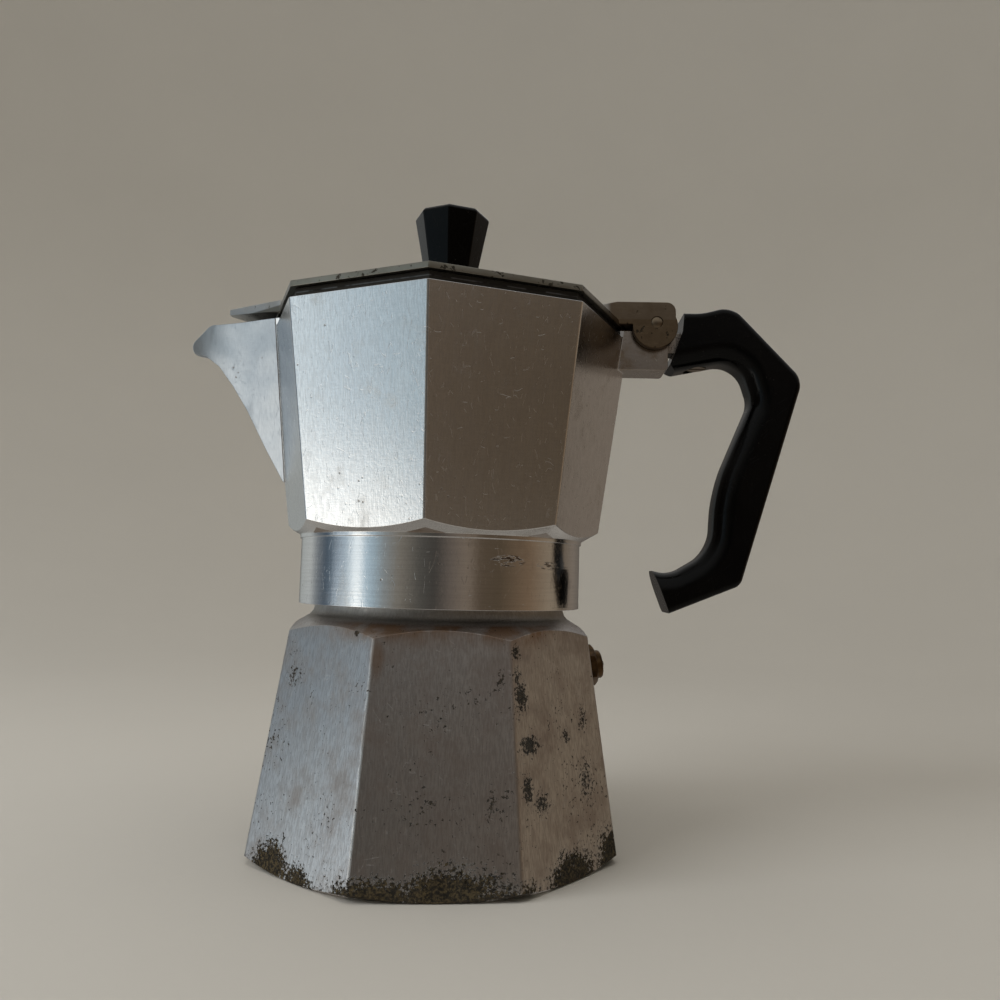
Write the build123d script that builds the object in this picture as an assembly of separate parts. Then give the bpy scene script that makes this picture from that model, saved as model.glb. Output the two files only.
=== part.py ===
from build123d import *
import os
from math import cos, radians, sin, sqrt

# Stove-top moka pot with an octagonal boiler, an octagonal collector screwed on top of it, a hinged
# lid over the spout and a hooked handle. Millimetres. +Z is up, the origin is the middle of the base
# on the surface the pot stands on, the handle points along +X and the spout along -X.

# ---- Clocking: the angle of the first corner of each octagon about +Z ----
SIDES = 8
HALF_SIDE = 180 / SIDES
COLLECTOR_CLOCK = 0.0
VALVE_AZIMUTH = 7.0
BOILER_CLOCK = VALVE_AZIMUTH + HALF_SIDE
SIDE_SHARE = cos(radians(HALF_SIDE))

# ---- How far pieces run into each other before they are joined, and cutters past what they cut ----
OVERLAP = 1.0
OVERSHOOT = 2.0

# ---- Boiler ----
BASE_RADIUS = 48.3
SHOULDER_RADIUS = 39.9
SHOULDER_Z = 54.15
FOOT_FLAT_RADIUS = 44.1
FOOT_CHAMFER_SLOPE = 0.52
SHOULDER_SLOPE = 0.6
SHOULDER_INNER_RADIUS = 33.6
BOILER_TAPER = (BASE_RADIUS - SHOULDER_RADIUS) / SHOULDER_Z
NECK_RADIUS = 32.3
NECK_BASE_Z = 60.4
NECK_FLARE = 0.5
NECK_FLARE_Z = 58.9
NECK_TOP_Z = 73.0
NECK_BORE_RADIUS = 29.3
NECK_BORE_Z = 57.5
FLOOR_THICKNESS = 3.2
TANK_FOOT_RADIUS = 41.6
TANK_BEVEL_WIDTH = 1.2
TANK_BEVEL_HEIGHT = 1.4
TANK_TOP_RADIUS = 34.2
TANK_TOP_Z = 52.0

# ---- Screw thread between boiler and collector ----
THREAD_PITCH = 3.5
THREAD_DEPTH = 0.8
THREAD_CREST = 1.0
THREAD_ROOT = 2.4
THREAD_CLEARANCE = 0.2
THREAD_FIRST_Z = 64.2
THREAD_TURNS = 3

# ---- Safety valve, measured out from the boiler's side along the valve's own axis ----
VALVE_Z = 45.4
VALVE_BOSS_RADIUS = 7.0
VALVE_BOSS_DEPTH = 5.0
VALVE_HOLE_RADIUS = 4.0
VALVE_SHANK_RADIUS = 3.97
VALVE_SHANK_DEPTH = 6.4
VALVE_WASHER_RADIUS = 5.6
VALVE_WASHER_THICKNESS = 0.8
VALVE_HEX_SIDES = 6
VALVE_HEX_FLATS = 9.5
VALVE_HEX_TOP = 3.7
VALVE_NOSE_RADIUS = 3.7
VALVE_NOSE_TOP = 5.4
VALVE_BORE_RADIUS = 2.2
VALVE_SEAT_DEPTH = 5.0
VALVE_SEAT_HOLE_RADIUS = 1.1
VALVE_CAP_THICKNESS = 0.8
VALVE_CAP_HOLE_RADIUS = 0.8
PISTON_RADIUS = 1.9
PISTON_SEAL_THICKNESS = 0.6
PISTON_HEAD_THICKNESS = 1.0
PISTON_ROD_RADIUS = 0.65
PISTON_ROD_TOP = 6.0
SPRING_RADIUS = 1.4
SPRING_WIRE_RADIUS = 0.22
SPRING_TURNS = 6
SPRING_GAP = 0.05

# ---- Funnel ----
BASKET_RADIUS = 28.9
SHEET = 0.7
CONE_DROP = 0.9
BASKET_RIM_RADIUS = 31.9
BASKET_RIM_THICKNESS = 0.9
BASKET_FLOOR_Z = 54.0
SIEVE_LEDGE_RADIUS = 26.4
FUNNEL_NECK_Z = 42.6
FUNNEL_SOCKET_Z = 37.5
STEM_STOP_Z = 41.5
STEM_FOOT_Z = 7.0
STEM_BORE_RADIUS = 3.8
STEM_RADIUS = 4.57
SOCKET_RADIUS = 4.6
SOCKET_WALL = 0.8
SIEVE_RADIUS = 28.1
SIEVE_THICKNESS = 0.8

# ---- Filter plate and seal, gripped between the funnel's rim and the collector ----
RIM_TOP_Z = NECK_TOP_Z + BASKET_RIM_THICKNESS
SEAT_Z = 76.4
SEAL_RADIUS = 32.3
SEAL_HOLE_RADIUS = 26.5
PLATE_RADIUS = 26.2
PLATE_THICKNESS = 0.8
PERFORATION_RADIUS = 0.75
PERFORATION_RINGS = 5
PERFORATIONS_ADDED_PER_RING = 6
PERFORATION_STEP = 4.3

# ---- Collector ----
COLLAR_RADIUS = 36.5
COLLAR_FOOT_Z = 60.7
COLLAR_EDGE = 0.5
COLLAR_TOP_Z = 78.1
BODY_FOOT_RADIUS = 41.5
BODY_FOOT_Z = 80.7
BODY_TOP_RADIUS = 48.7
BODY_TOP_Z = 132.7
BODY_TAPER = (BODY_TOP_RADIUS - BODY_FOOT_RADIUS) / (BODY_TOP_Z - BODY_FOOT_Z)
CHAMFER_FOOT_RADIUS = 36.9
CHAMFER_SLOPE = 0.585
RIM_RADIUS = 46.9
LID_SEAT_Z = 135.2
CHAMBER_FLOOR_Z = 80.4
CHAMBER_FLOOR_RADIUS = 38.4
CHAMBER_TOP_RADIUS = 45.2
SEAL_POCKET_RADIUS = 32.6
SEAL_POCKET_Z = 73.6
DOME_RADIUS = 25.2
DOME_TOP_RADIUS = 9.0
DOME_TOP_Z = 78.2

# ---- Spout: a V-shaped trough that leans out from the corner at -X ----
SPOUT_KEEL = [(40.0, 90.3), (43.4, 92.6), (48.4, 101.2), (54.0, 111.6), (58.2, 118.2), (62.4, 123.7),
              (66.0, 126.3), (70.0, 127.2)]
SPOUT_KEEL_HALF_WIDTH = 1.2
SPOUT_FLARE = 0.25
SPOUT_TOP_Z = 134.5
TROUGH_KEEL_RISE = 4.0
TROUGH_KEEL_HALF_WIDTH = 0.6
TROUGH_ROOT_X = 41.0
SPOUT_TIP_X = 69.8
SPOUT_LIP_Z = 126.2
SPOUT_LIP_RADIUS = 2.4
SPOUT_SHOULDER_X = 64.5
SPOUT_REACH_Y = 14.0
SPOUT_REACH_DOWN = 5.0

# ---- Column that the coffee rises through ----
COLUMN_SPIGOT_RADIUS = 4.98
COLUMN_HOLE_RADIUS = 5.0
COLUMN_FLANGE_RADIUS = 8.5
COLUMN_FLANGE_THICKNESS = 1.6
COLUMN_FOOT_RADIUS = 7.0
COLUMN_HEAD_RADIUS = 5.2
COLUMN_HEAD_Z = 116.0
COLUMN_CROWN_RADIUS = 3.2
COLUMN_TOP_Z = 119.0
COLUMN_BORE_RADIUS = 3.4
COLUMN_BORE_TOP_Z = 114.0
OUTLET_RADIUS = 2.1
OUTLET_Z = 111.5

# ---- Hinge and the lug that carries the handle ----
PIN_X = 55.4
PIN_Z = 136.1
PIN_RADIUS = 1.5
PIN_CLEARANCE = 0.03
PIN_LENGTH = 15.4
LUG_HALF_WIDTH = 5.0
LUG_ROOT_X = 43.0
LUG_END_X = 58.7
LUG_FOOT_Z = 123.9
LUG_TOP_Z = 134.4
LUG_EYE_RADIUS = 3.6
TANG_HALF_WIDTH = 2.6
TANG_END_X = 71.0
TANG_FOOT_Z = 129.0
TANG_TOP_Z = 134.6
TANG_SLACK = 0.15

# ---- Handle ----
HANDLE_HALF_WIDTH = 7.0
HANDLE_EDGE_RADIUS = 2.5
SAME_PLACE = 0.1
HANDLE_OUTSIDE = [(62.6, 139.1), (67.4, 139.1), (75.2, 141.2), (93.6, 121.8), (77.6, 67.9), (59.4, 60.3)]
HANDLE_OUTSIDE_BENDS = [14, 6, 5, 3.2]
HANDLE_INSIDE = [(55.3, 71.2), (60.0, 70.3), (70.4, 76.6), (71.3, 93.0), (80.9, 116.3), (77.4, 127.4),
                 (60.8, 124.0)]
HANDLE_INSIDE_BENDS = [7, 10, 40, 6, 7]
HANDLE_FRONT = [(60.8, 124.0), (59.2, 125.4), (62.2, 134.0), (62.6, 139.1)]
HANDLE_SCREW_X = 66.5
HANDLE_SCREW_RADIUS = 1.5
HANDLE_SCREW_HEAD_RADIUS = 2.9
HANDLE_SCREW_HEAD = 1.3
HANDLE_SCREW_TOP_Z = 133.4
HANDLE_SCREW_SEAT_Z = 126.8

# ---- Lid ----
LID_RADIUS = 48.5
LID_EDGE = 1.5
ROOF_FOOT_RADIUS = 45.4
ROOF_TOP_RADIUS = 9.0
ROOF_TOP_Z = 143.2
ROOF_THICKNESS = 1.5
LID_HOLLOW_RADIUS = 43.6
TAB_INNER_X = 36.0
TAB_ROOT_X = 42.4
TAB_ROOT_HALF_WIDTH = 14.8
TAB_THICKNESS = 3.0
TAB_TIP_X = 60.3
TAB_TIP_HALF_WIDTH = 0.8
TAB_TIP_RISE = 2.9
TAB_TIP_THICKNESS = 1.6
EAR_OUTER_Y = 7.5
EAR_INNER_Y = 5.3
EAR_TOP_Z = 141.5
EAR_BACK_X = 60.3
EAR_ROUND_RADIUS = 5.9
EAR_ROUND_X = 55.0
EAR_ROUND_Z = 135.1
EAR_CORNER_RADIUS = 2.4
BLOCK_ROOT_X = 34.0
BLOCK_ROOT_TOP_Z = 139.2
BLOCK_SHOULDER_X = 45.0
BLOCK_BACK_X = 51.2
BLOCK_FOOT_Z = 135.6

# ---- Knob ----
KNOB_FOOT_RADIUS = 5.8
KNOB_TOP_RADIUS = 10.4
KNOB_TOP_Z = 166.8
KNOB_EDGE = 0.8
KNOB_SCREW_RADIUS = 1.5
KNOB_SCREW_TOP_Z = 155.0
KNOB_SCREW_HEAD_RADIUS = 3.0
KNOB_SCREW_HEAD = 1.7
KNOB_WASHER_RADIUS = 4.2
KNOB_WASHER_THICKNESS = 0.8

# ---- Shared by both screws ----
SCREW_FIT = 0.03
SCREW_END_GAP = 0.2
SLOT_WIDTH = 0.8
SLOT_DEPTH = 1.2


def turned(outline):
    """A solid of revolution about the pot's axis from (radius, z) points."""
    return revolve(make_face(Plane.XZ * Polyline(*outline, close=True)), Axis.Z)


def octagon(radius, z, clock):
    """An octagonal face at height z, with radius to its corners."""
    return Pos(0, 0, z) * RegularPolygon(radius, SIDES, rotation=clock)


def octagon_frustum(low_radius, low_z, high_radius, high_z, clock):
    """An octagonal prism that tapers from one corner radius to another."""
    return loft([octagon(low_radius, low_z, clock), octagon(high_radius, high_z, clock)], ruled=True)


def side_slab(outline, half_width):
    """A slab cut to an (x, z) outline and spread evenly to both sides of the X-Z plane."""
    return extrude(make_face(Plane.XZ * Polyline(*outline, close=True)), half_width, both=True)


def ring_solid(inner_radius, outer_radius, low_z, high_z):
    """A flat ring or a tube about +Z."""
    return turned([(inner_radius, low_z), (outer_radius, low_z), (outer_radius, high_z), (inner_radius, high_z)])


def upright(radius, low_z, high_z, x=0):
    """A cylinder that stands along +Z between two heights."""
    return Pos(x, 0, (low_z + high_z) / 2) * Cylinder(radius, high_z - low_z)


def crosswise(radius, length, x, z):
    """A cylinder along Y, centred on the X-Z plane."""
    return Pos(x, 0, z) * Rot(90, 0, 0) * Cylinder(radius, length)


def boiler_radius(z):
    """Corner radius of the boiler's tapered side at height z."""
    return BASE_RADIUS - BOILER_TAPER * z


def body_radius(z):
    """Corner radius of the collector's tapered side at height z."""
    return BODY_FOOT_RADIUS + BODY_TAPER * (z - BODY_FOOT_Z)


def thread_rings(root_radius, direction, first_z):
    """Outline points, going up, of the thread's ridges; direction is +1 outwards and -1 inwards."""
    points = []
    for turn in range(THREAD_TURNS):
        middle = first_z + turn * THREAD_PITCH
        crest_radius = root_radius + direction * THREAD_DEPTH
        points += [(root_radius, middle - THREAD_ROOT / 2), (crest_radius, middle - THREAD_CREST / 2)]
        points += [(crest_radius, middle + THREAD_CREST / 2), (root_radius, middle + THREAD_ROOT / 2)]
    return points


def valve_frame():
    """Plane on the middle of the valve's side of the boiler, with its z axis pointing out of the side."""
    lean = sqrt(1 + (BOILER_TAPER * SIDE_SHARE) ** 2)
    reach = boiler_radius(VALVE_Z) * SIDE_SHARE
    across = (cos(radians(VALVE_AZIMUTH)), sin(radians(VALVE_AZIMUTH)))
    outwards = (across[0] / lean, across[1] / lean, BOILER_TAPER * SIDE_SHARE / lean)
    return Plane(
        origin=(reach * across[0], reach * across[1], VALVE_Z),
        x_dir=(-across[1], across[0], 0),
        z_dir=outwards,
    )


def on_valve(radius, low, high):
    """A cylinder on the valve's axis between two distances out from the boiler's side."""
    return valve_frame() * Pos(0, 0, (low + high) / 2) * Cylinder(radius, high - low)


def make_boiler():
    """Octagonal tank with a turned foot, shoulder and threaded neck."""
    side = octagon_frustum(BASE_RADIUS, 0, boiler_radius(NECK_BASE_Z), NECK_BASE_Z, BOILER_CLOCK)
    outer = BASE_RADIUS + OVERSHOOT
    shoulder_z = SHOULDER_Z - SHOULDER_SLOPE * (outer - SHOULDER_RADIUS)
    shoulder_inner_z = SHOULDER_Z + SHOULDER_SLOPE * (SHOULDER_RADIUS - SHOULDER_INNER_RADIUS)
    side &= turned([
        (0, 0), (FOOT_FLAT_RADIUS, 0), (outer, FOOT_CHAMFER_SLOPE * (outer - FOOT_FLAT_RADIUS)),
        (outer, shoulder_z), (SHOULDER_INNER_RADIUS, shoulder_inner_z), (NECK_RADIUS + NECK_FLARE, NECK_FLARE_Z),
        (NECK_RADIUS, NECK_BASE_Z), (0, NECK_BASE_Z),
    ])
    neck = turned([
        (0, NECK_BASE_Z), (NECK_RADIUS, NECK_BASE_Z), *thread_rings(NECK_RADIUS, 1, THREAD_FIRST_Z),
        (NECK_RADIUS, NECK_TOP_Z), (0, NECK_TOP_Z),
    ])
    tank = turned([
        (0, FLOOR_THICKNESS), (TANK_FOOT_RADIUS - TANK_BEVEL_WIDTH, FLOOR_THICKNESS),
        (TANK_FOOT_RADIUS, FLOOR_THICKNESS + TANK_BEVEL_HEIGHT), (TANK_TOP_RADIUS, TANK_TOP_Z),
        (NECK_BORE_RADIUS, NECK_BORE_Z), (NECK_BORE_RADIUS, NECK_TOP_Z), (0, NECK_TOP_Z),
    ])
    boss = on_valve(VALVE_BOSS_RADIUS, -VALVE_BOSS_DEPTH, -OVERLAP)
    return side + neck - tank + boss - on_valve(VALVE_HOLE_RADIUS, -VALVE_BOSS_DEPTH - OVERSHOOT, OVERSHOOT)


def make_valve_body():
    """Hexagon-headed plug with a bored nose and a small seat at its inner end."""
    flats = RegularPolygon(VALVE_HEX_FLATS / 2, VALVE_HEX_SIDES, major_radius=False)
    hexagon = extrude(flats, VALVE_HEX_TOP - VALVE_WASHER_THICKNESS)
    plug = valve_frame() * Pos(0, 0, VALVE_WASHER_THICKNESS) * hexagon
    plug += on_valve(VALVE_SHANK_RADIUS, -VALVE_SHANK_DEPTH, VALVE_WASHER_THICKNESS)
    plug += on_valve(VALVE_NOSE_RADIUS, VALVE_HEX_TOP, VALVE_NOSE_TOP)
    plug -= on_valve(VALVE_BORE_RADIUS, -VALVE_SEAT_DEPTH, VALVE_NOSE_TOP)
    return plug - on_valve(VALVE_SEAT_HOLE_RADIUS, -VALVE_SHANK_DEPTH, -VALVE_SEAT_DEPTH)


def make_valve_washer():
    """Flat sealing ring under the valve's hexagon."""
    ring = on_valve(VALVE_WASHER_RADIUS, 0, VALVE_WASHER_THICKNESS)
    return ring - on_valve(VALVE_HOLE_RADIUS, 0, VALVE_WASHER_THICKNESS)


def make_valve_cap():
    """Disc swaged into the valve's nose, which holds the spring in and guides the piston's rod."""
    disc = on_valve(VALVE_BORE_RADIUS, VALVE_NOSE_TOP - VALVE_CAP_THICKNESS, VALVE_NOSE_TOP)
    return disc - on_valve(VALVE_CAP_HOLE_RADIUS, VALVE_NOSE_TOP - VALVE_CAP_THICKNESS, VALVE_NOSE_TOP)


def piston_head_level():
    """How far out the piston's head ends, measured from the boiler's side."""
    return -VALVE_SEAT_DEPTH + PISTON_SEAL_THICKNESS + PISTON_HEAD_THICKNESS


def make_valve_seal():
    """Soft disc on the inner face of the piston."""
    return on_valve(PISTON_RADIUS, -VALVE_SEAT_DEPTH, -VALVE_SEAT_DEPTH + PISTON_SEAL_THICKNESS)


def make_valve_piston():
    """Piston head with the rod that shows at the valve's nose."""
    head = on_valve(PISTON_RADIUS, piston_head_level() - PISTON_HEAD_THICKNESS, piston_head_level())
    return head + on_valve(PISTON_ROD_RADIUS, piston_head_level(), PISTON_ROD_TOP)


def make_valve_spring():
    """Helical compression spring between the piston's head and the cap."""
    low = piston_head_level() + SPRING_WIRE_RADIUS + SPRING_GAP
    height = VALVE_NOSE_TOP - VALVE_CAP_THICKNESS - SPRING_WIRE_RADIUS - SPRING_GAP - low
    path = Helix(height / SPRING_TURNS, height, SPRING_RADIUS)
    wire = Plane(origin=path @ 0, z_dir=path % 0) * Circle(SPRING_WIRE_RADIUS)
    return valve_frame() * Pos(0, 0, low) * sweep(wire, path=path, is_frenet=True)


def make_funnel():
    """Spun sheet basket that hangs by its rim on the boiler's neck, with a cone and a stem socket."""
    return turned([
        (BASKET_RIM_RADIUS, NECK_TOP_Z), (BASKET_RIM_RADIUS, RIM_TOP_Z), (BASKET_RADIUS - SHEET, RIM_TOP_Z),
        (BASKET_RADIUS - SHEET, BASKET_FLOOR_Z), (SIEVE_LEDGE_RADIUS, BASKET_FLOOR_Z),
        (STEM_BORE_RADIUS, FUNNEL_NECK_Z), (STEM_BORE_RADIUS, STEM_STOP_Z), (SOCKET_RADIUS, STEM_STOP_Z),
        (SOCKET_RADIUS, FUNNEL_SOCKET_Z), (SOCKET_RADIUS + SOCKET_WALL, FUNNEL_SOCKET_Z),
        (SOCKET_RADIUS + SOCKET_WALL, FUNNEL_NECK_Z - CONE_DROP / 2),
        (SIEVE_LEDGE_RADIUS, BASKET_FLOOR_Z - CONE_DROP), (BASKET_RADIUS, BASKET_FLOOR_Z - CONE_DROP / 2),
        (BASKET_RADIUS, NECK_TOP_Z),
    ])


def perforated(disc, low_z, high_z):
    """The disc with evenly spaced rings of small holes through it."""
    holes = [upright(PERFORATION_RADIUS, low_z, high_z)]
    for ring in range(1, PERFORATION_RINGS + 1):
        around = PolarLocations(PERFORATION_STEP * ring, PERFORATIONS_ADDED_PER_RING * ring)
        holes += [spot * upright(PERFORATION_RADIUS, low_z, high_z) for spot in around]
    return disc - holes


def make_sieve():
    """Perforated disc that the ground coffee lies on."""
    high_z = BASKET_FLOOR_Z + SIEVE_THICKNESS
    return perforated(upright(SIEVE_RADIUS, BASKET_FLOOR_Z, high_z), BASKET_FLOOR_Z, high_z)


def make_filter_plate():
    """Perforated disc held up under the collector inside the seal."""
    low_z = SEAT_Z - PLATE_THICKNESS
    return perforated(upright(PLATE_RADIUS, low_z, SEAT_Z), low_z, SEAT_Z)


def spout_sections(keel_rise, keel_half_width):
    """Trapezium sections, square to X, of a V whose keel runs keel_rise above the spout's own keel."""
    sections = []
    top_z = SPOUT_TOP_Z + OVERSHOOT
    for reach, keel_z in SPOUT_KEEL:
        foot_z = keel_z + keel_rise
        head = keel_half_width + SPOUT_FLARE * (top_z - foot_z)
        foot = keel_half_width
        corners = [(-reach, -foot, foot_z), (-reach, foot, foot_z), (-reach, head, top_z), (-reach, -head, top_z)]
        sections.append(make_face(Polyline(*corners, close=True)))
    return sections


def make_spout():
    """Solid wedge of the spout with its rounded nose, before the trough is cut."""
    nose_x = SPOUT_TIP_X - SPOUT_LIP_RADIUS
    nose_z = SPOUT_LIP_Z + SPOUT_LIP_RADIUS
    root_x = SPOUT_KEEL[0][0]
    bounds = side_slab([
        (-root_x, SPOUT_KEEL[0][1] - SPOUT_REACH_DOWN), (-nose_x, SPOUT_LIP_Z), (-SPOUT_TIP_X, nose_z),
        (-SPOUT_SHOULDER_X, SPOUT_TOP_Z), (-root_x, SPOUT_TOP_Z),
    ], SPOUT_REACH_Y)
    bounds += crosswise(SPOUT_LIP_RADIUS, 2 * SPOUT_REACH_Y, -nose_x, nose_z)
    return loft(spout_sections(0, SPOUT_KEEL_HALF_WIDTH), ruled=True) & bounds


def make_trough():
    """The V-shaped space that the coffee pours through, open at the top, the tip and into the jug."""
    foot_z = SPOUT_KEEL[0][1]
    top_z = SPOUT_TOP_Z + OVERSHOOT
    far_x = SPOUT_TIP_X + OVERSHOOT
    bounds = side_slab([
        (-TROUGH_ROOT_X, foot_z), (-far_x, foot_z), (-far_x, top_z), (-TROUGH_ROOT_X, top_z),
    ], SPOUT_REACH_Y)
    return loft(spout_sections(TROUGH_KEEL_RISE, TROUGH_KEEL_HALF_WIDTH), ruled=True) & bounds


def make_lug():
    """Hinge lug with the eye for the pin, and the tang that the handle slips over."""
    lug = side_slab([
        (LUG_ROOT_X, LUG_FOOT_Z), (LUG_END_X, LUG_FOOT_Z), (LUG_END_X, LUG_TOP_Z), (LUG_ROOT_X, LUG_TOP_Z),
    ], LUG_HALF_WIDTH)
    tang = side_slab([
        (LUG_END_X - OVERLAP, TANG_FOOT_Z), (TANG_END_X, TANG_FOOT_Z), (TANG_END_X, TANG_TOP_Z),
        (LUG_END_X - OVERLAP, TANG_TOP_Z),
    ], TANG_HALF_WIDTH)
    return lug + tang + crosswise(LUG_EYE_RADIUS, 2 * LUG_HALF_WIDTH, PIN_X, PIN_Z)


def make_collar_cavity():
    """The turned space under the collector's floor, with the female thread and the seal's pocket."""
    root_radius = NECK_RADIUS + 2 * THREAD_DEPTH + THREAD_CLEARANCE
    return turned([
        (0, COLLAR_FOOT_Z), (root_radius, COLLAR_FOOT_Z),
        *thread_rings(root_radius, -1, THREAD_FIRST_Z - THREAD_PITCH / 2),
        (root_radius, SEAL_POCKET_Z), (SEAL_POCKET_RADIUS, SEAL_POCKET_Z), (SEAL_POCKET_RADIUS, SEAT_Z),
        (DOME_RADIUS, SEAT_Z), (DOME_TOP_RADIUS, DOME_TOP_Z), (COLUMN_HOLE_RADIUS, DOME_TOP_Z),
        (COLUMN_HOLE_RADIUS, CHAMBER_FLOOR_Z + OVERSHOOT), (0, CHAMBER_FLOOR_Z + OVERSHOOT),
    ])


def make_collector():
    """Octagonal jug with its spout, lug, floor and threaded collar, cast in one piece."""
    low_z = COLLAR_TOP_Z - OVERLAP
    far = BODY_TOP_RADIUS + OVERSHOOT
    body = octagon_frustum(body_radius(low_z), low_z, BODY_TOP_RADIUS, BODY_TOP_Z, COLLECTOR_CLOCK)
    body &= turned([
        (0, low_z), (CHAMFER_FOOT_RADIUS, low_z), (CHAMFER_FOOT_RADIUS, COLLAR_TOP_Z),
        (far, COLLAR_TOP_Z + CHAMFER_SLOPE * (far - CHAMFER_FOOT_RADIUS)), (far, BODY_TOP_Z), (0, BODY_TOP_Z),
    ])
    body += turned([
        (0, COLLAR_FOOT_Z), (COLLAR_RADIUS - COLLAR_EDGE, COLLAR_FOOT_Z),
        (COLLAR_RADIUS, COLLAR_FOOT_Z + COLLAR_EDGE), (COLLAR_RADIUS, COLLAR_TOP_Z), (0, COLLAR_TOP_Z),
    ])
    body += octagon_frustum(RIM_RADIUS, BODY_TOP_Z - OVERLAP, RIM_RADIUS, LID_SEAT_Z, COLLECTOR_CLOCK)
    body += make_spout()
    body += make_lug()
    body -= octagon_frustum(CHAMBER_FLOOR_RADIUS, CHAMBER_FLOOR_Z, CHAMBER_TOP_RADIUS, LID_SEAT_Z, COLLECTOR_CLOCK)
    body -= make_trough()
    body -= make_collar_cavity()
    body -= crosswise(PIN_RADIUS + PIN_CLEARANCE, 4 * LUG_HALF_WIDTH, PIN_X, PIN_Z)
    hole_foot_z = TANG_FOOT_Z - OVERSHOOT
    return body - upright(HANDLE_SCREW_RADIUS + SCREW_FIT, hole_foot_z, HANDLE_SCREW_TOP_Z, HANDLE_SCREW_X)


def make_column():
    """Hollow column with a flanged foot, pressed into the floor, and two outlets below its closed top."""
    flange_top_z = CHAMBER_FLOOR_Z + COLUMN_FLANGE_THICKNESS
    column = turned([
        (COLUMN_BORE_RADIUS, DOME_TOP_Z), (COLUMN_SPIGOT_RADIUS, DOME_TOP_Z),
        (COLUMN_SPIGOT_RADIUS, CHAMBER_FLOOR_Z), (COLUMN_FLANGE_RADIUS, CHAMBER_FLOOR_Z),
        (COLUMN_FLANGE_RADIUS, flange_top_z), (COLUMN_FOOT_RADIUS, flange_top_z), (COLUMN_HEAD_RADIUS, COLUMN_HEAD_Z),
        (COLUMN_CROWN_RADIUS, COLUMN_TOP_Z), (0, COLUMN_TOP_Z), (0, COLUMN_BORE_TOP_Z),
        (COLUMN_BORE_RADIUS, COLUMN_BORE_TOP_Z),
    ])
    return column - crosswise(OUTLET_RADIUS, 4 * COLUMN_HEAD_RADIUS, 0, OUTLET_Z)


def handle_outline():
    """The handle's outline in the X-Z plane, of straight runs and tangent arcs."""
    outside = FilletPolyline(*HANDLE_OUTSIDE, radius=HANDLE_OUTSIDE_BENDS)
    hook_end = Line(HANDLE_OUTSIDE[-1], HANDLE_INSIDE[0])
    inside = FilletPolyline(*HANDLE_INSIDE, radius=HANDLE_INSIDE_BENDS)
    front = Polyline(*HANDLE_FRONT)
    return make_face(Plane.XZ * Wire([*outside.edges(), hook_end, *inside.edges(), *front.edges()]))


def is_handle_end(edge):
    """Whether an edge of the handle's flat sides borders the hook's end or the front at the lug."""
    ends = [HANDLE_OUTSIDE[-1], HANDLE_INSIDE[0], *HANDLE_FRONT]
    middle = edge.center()
    gaps = [
        abs(middle.X - (start[0] + end[0]) / 2) + abs(middle.Z - (start[1] + end[1]) / 2)
        for start, end in zip(ends, ends[1:])
    ]
    return min(gaps) < SAME_PLACE


def make_handle():
    """Moulded handle with rounded edges, a slot for the tang and a screw hole from below."""
    handle = extrude(handle_outline(), HANDLE_HALF_WIDTH, both=True)
    sides = handle.faces().filter_by(Axis.Y)
    handle = fillet([edge for edge in sides.edges() if not is_handle_end(edge)], HANDLE_EDGE_RADIUS)
    slot_end_x = TANG_END_X + TANG_SLACK
    slot_foot_z = TANG_FOOT_Z - TANG_SLACK
    slot_top_z = TANG_TOP_Z + TANG_SLACK
    handle -= side_slab([
        (LUG_END_X - OVERLAP, slot_foot_z), (slot_end_x, slot_foot_z), (slot_end_x, slot_top_z),
        (LUG_END_X - OVERLAP, slot_top_z),
    ], TANG_HALF_WIDTH + TANG_SLACK)
    below_z = LUG_FOOT_Z - OVERSHOOT
    handle -= upright(HANDLE_SCREW_RADIUS + SCREW_FIT, below_z, TANG_FOOT_Z, HANDLE_SCREW_X)
    return handle - upright(HANDLE_SCREW_HEAD_RADIUS + TANG_SLACK, below_z, HANDLE_SCREW_SEAT_Z, HANDLE_SCREW_X)


def make_handle_screw():
    """Slotted screw driven up through the handle's underside into the tang."""
    head_foot_z = HANDLE_SCREW_SEAT_Z - HANDLE_SCREW_HEAD
    screw = upright(HANDLE_SCREW_HEAD_RADIUS, head_foot_z, HANDLE_SCREW_SEAT_Z, HANDLE_SCREW_X)
    screw += upright(HANDLE_SCREW_RADIUS, HANDLE_SCREW_SEAT_Z, HANDLE_SCREW_TOP_Z - SCREW_END_GAP, HANDLE_SCREW_X)
    return screw - Pos(HANDLE_SCREW_X, 0, head_foot_z) * Box(2 * HANDLE_SCREW_HEAD_RADIUS, SLOT_WIDTH, SLOT_DEPTH)


def make_hinge_pin():
    """Plain pin through the lid's ears and the lug's eye."""
    return crosswise(PIN_RADIUS, PIN_LENGTH, PIN_X, PIN_Z)


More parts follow.
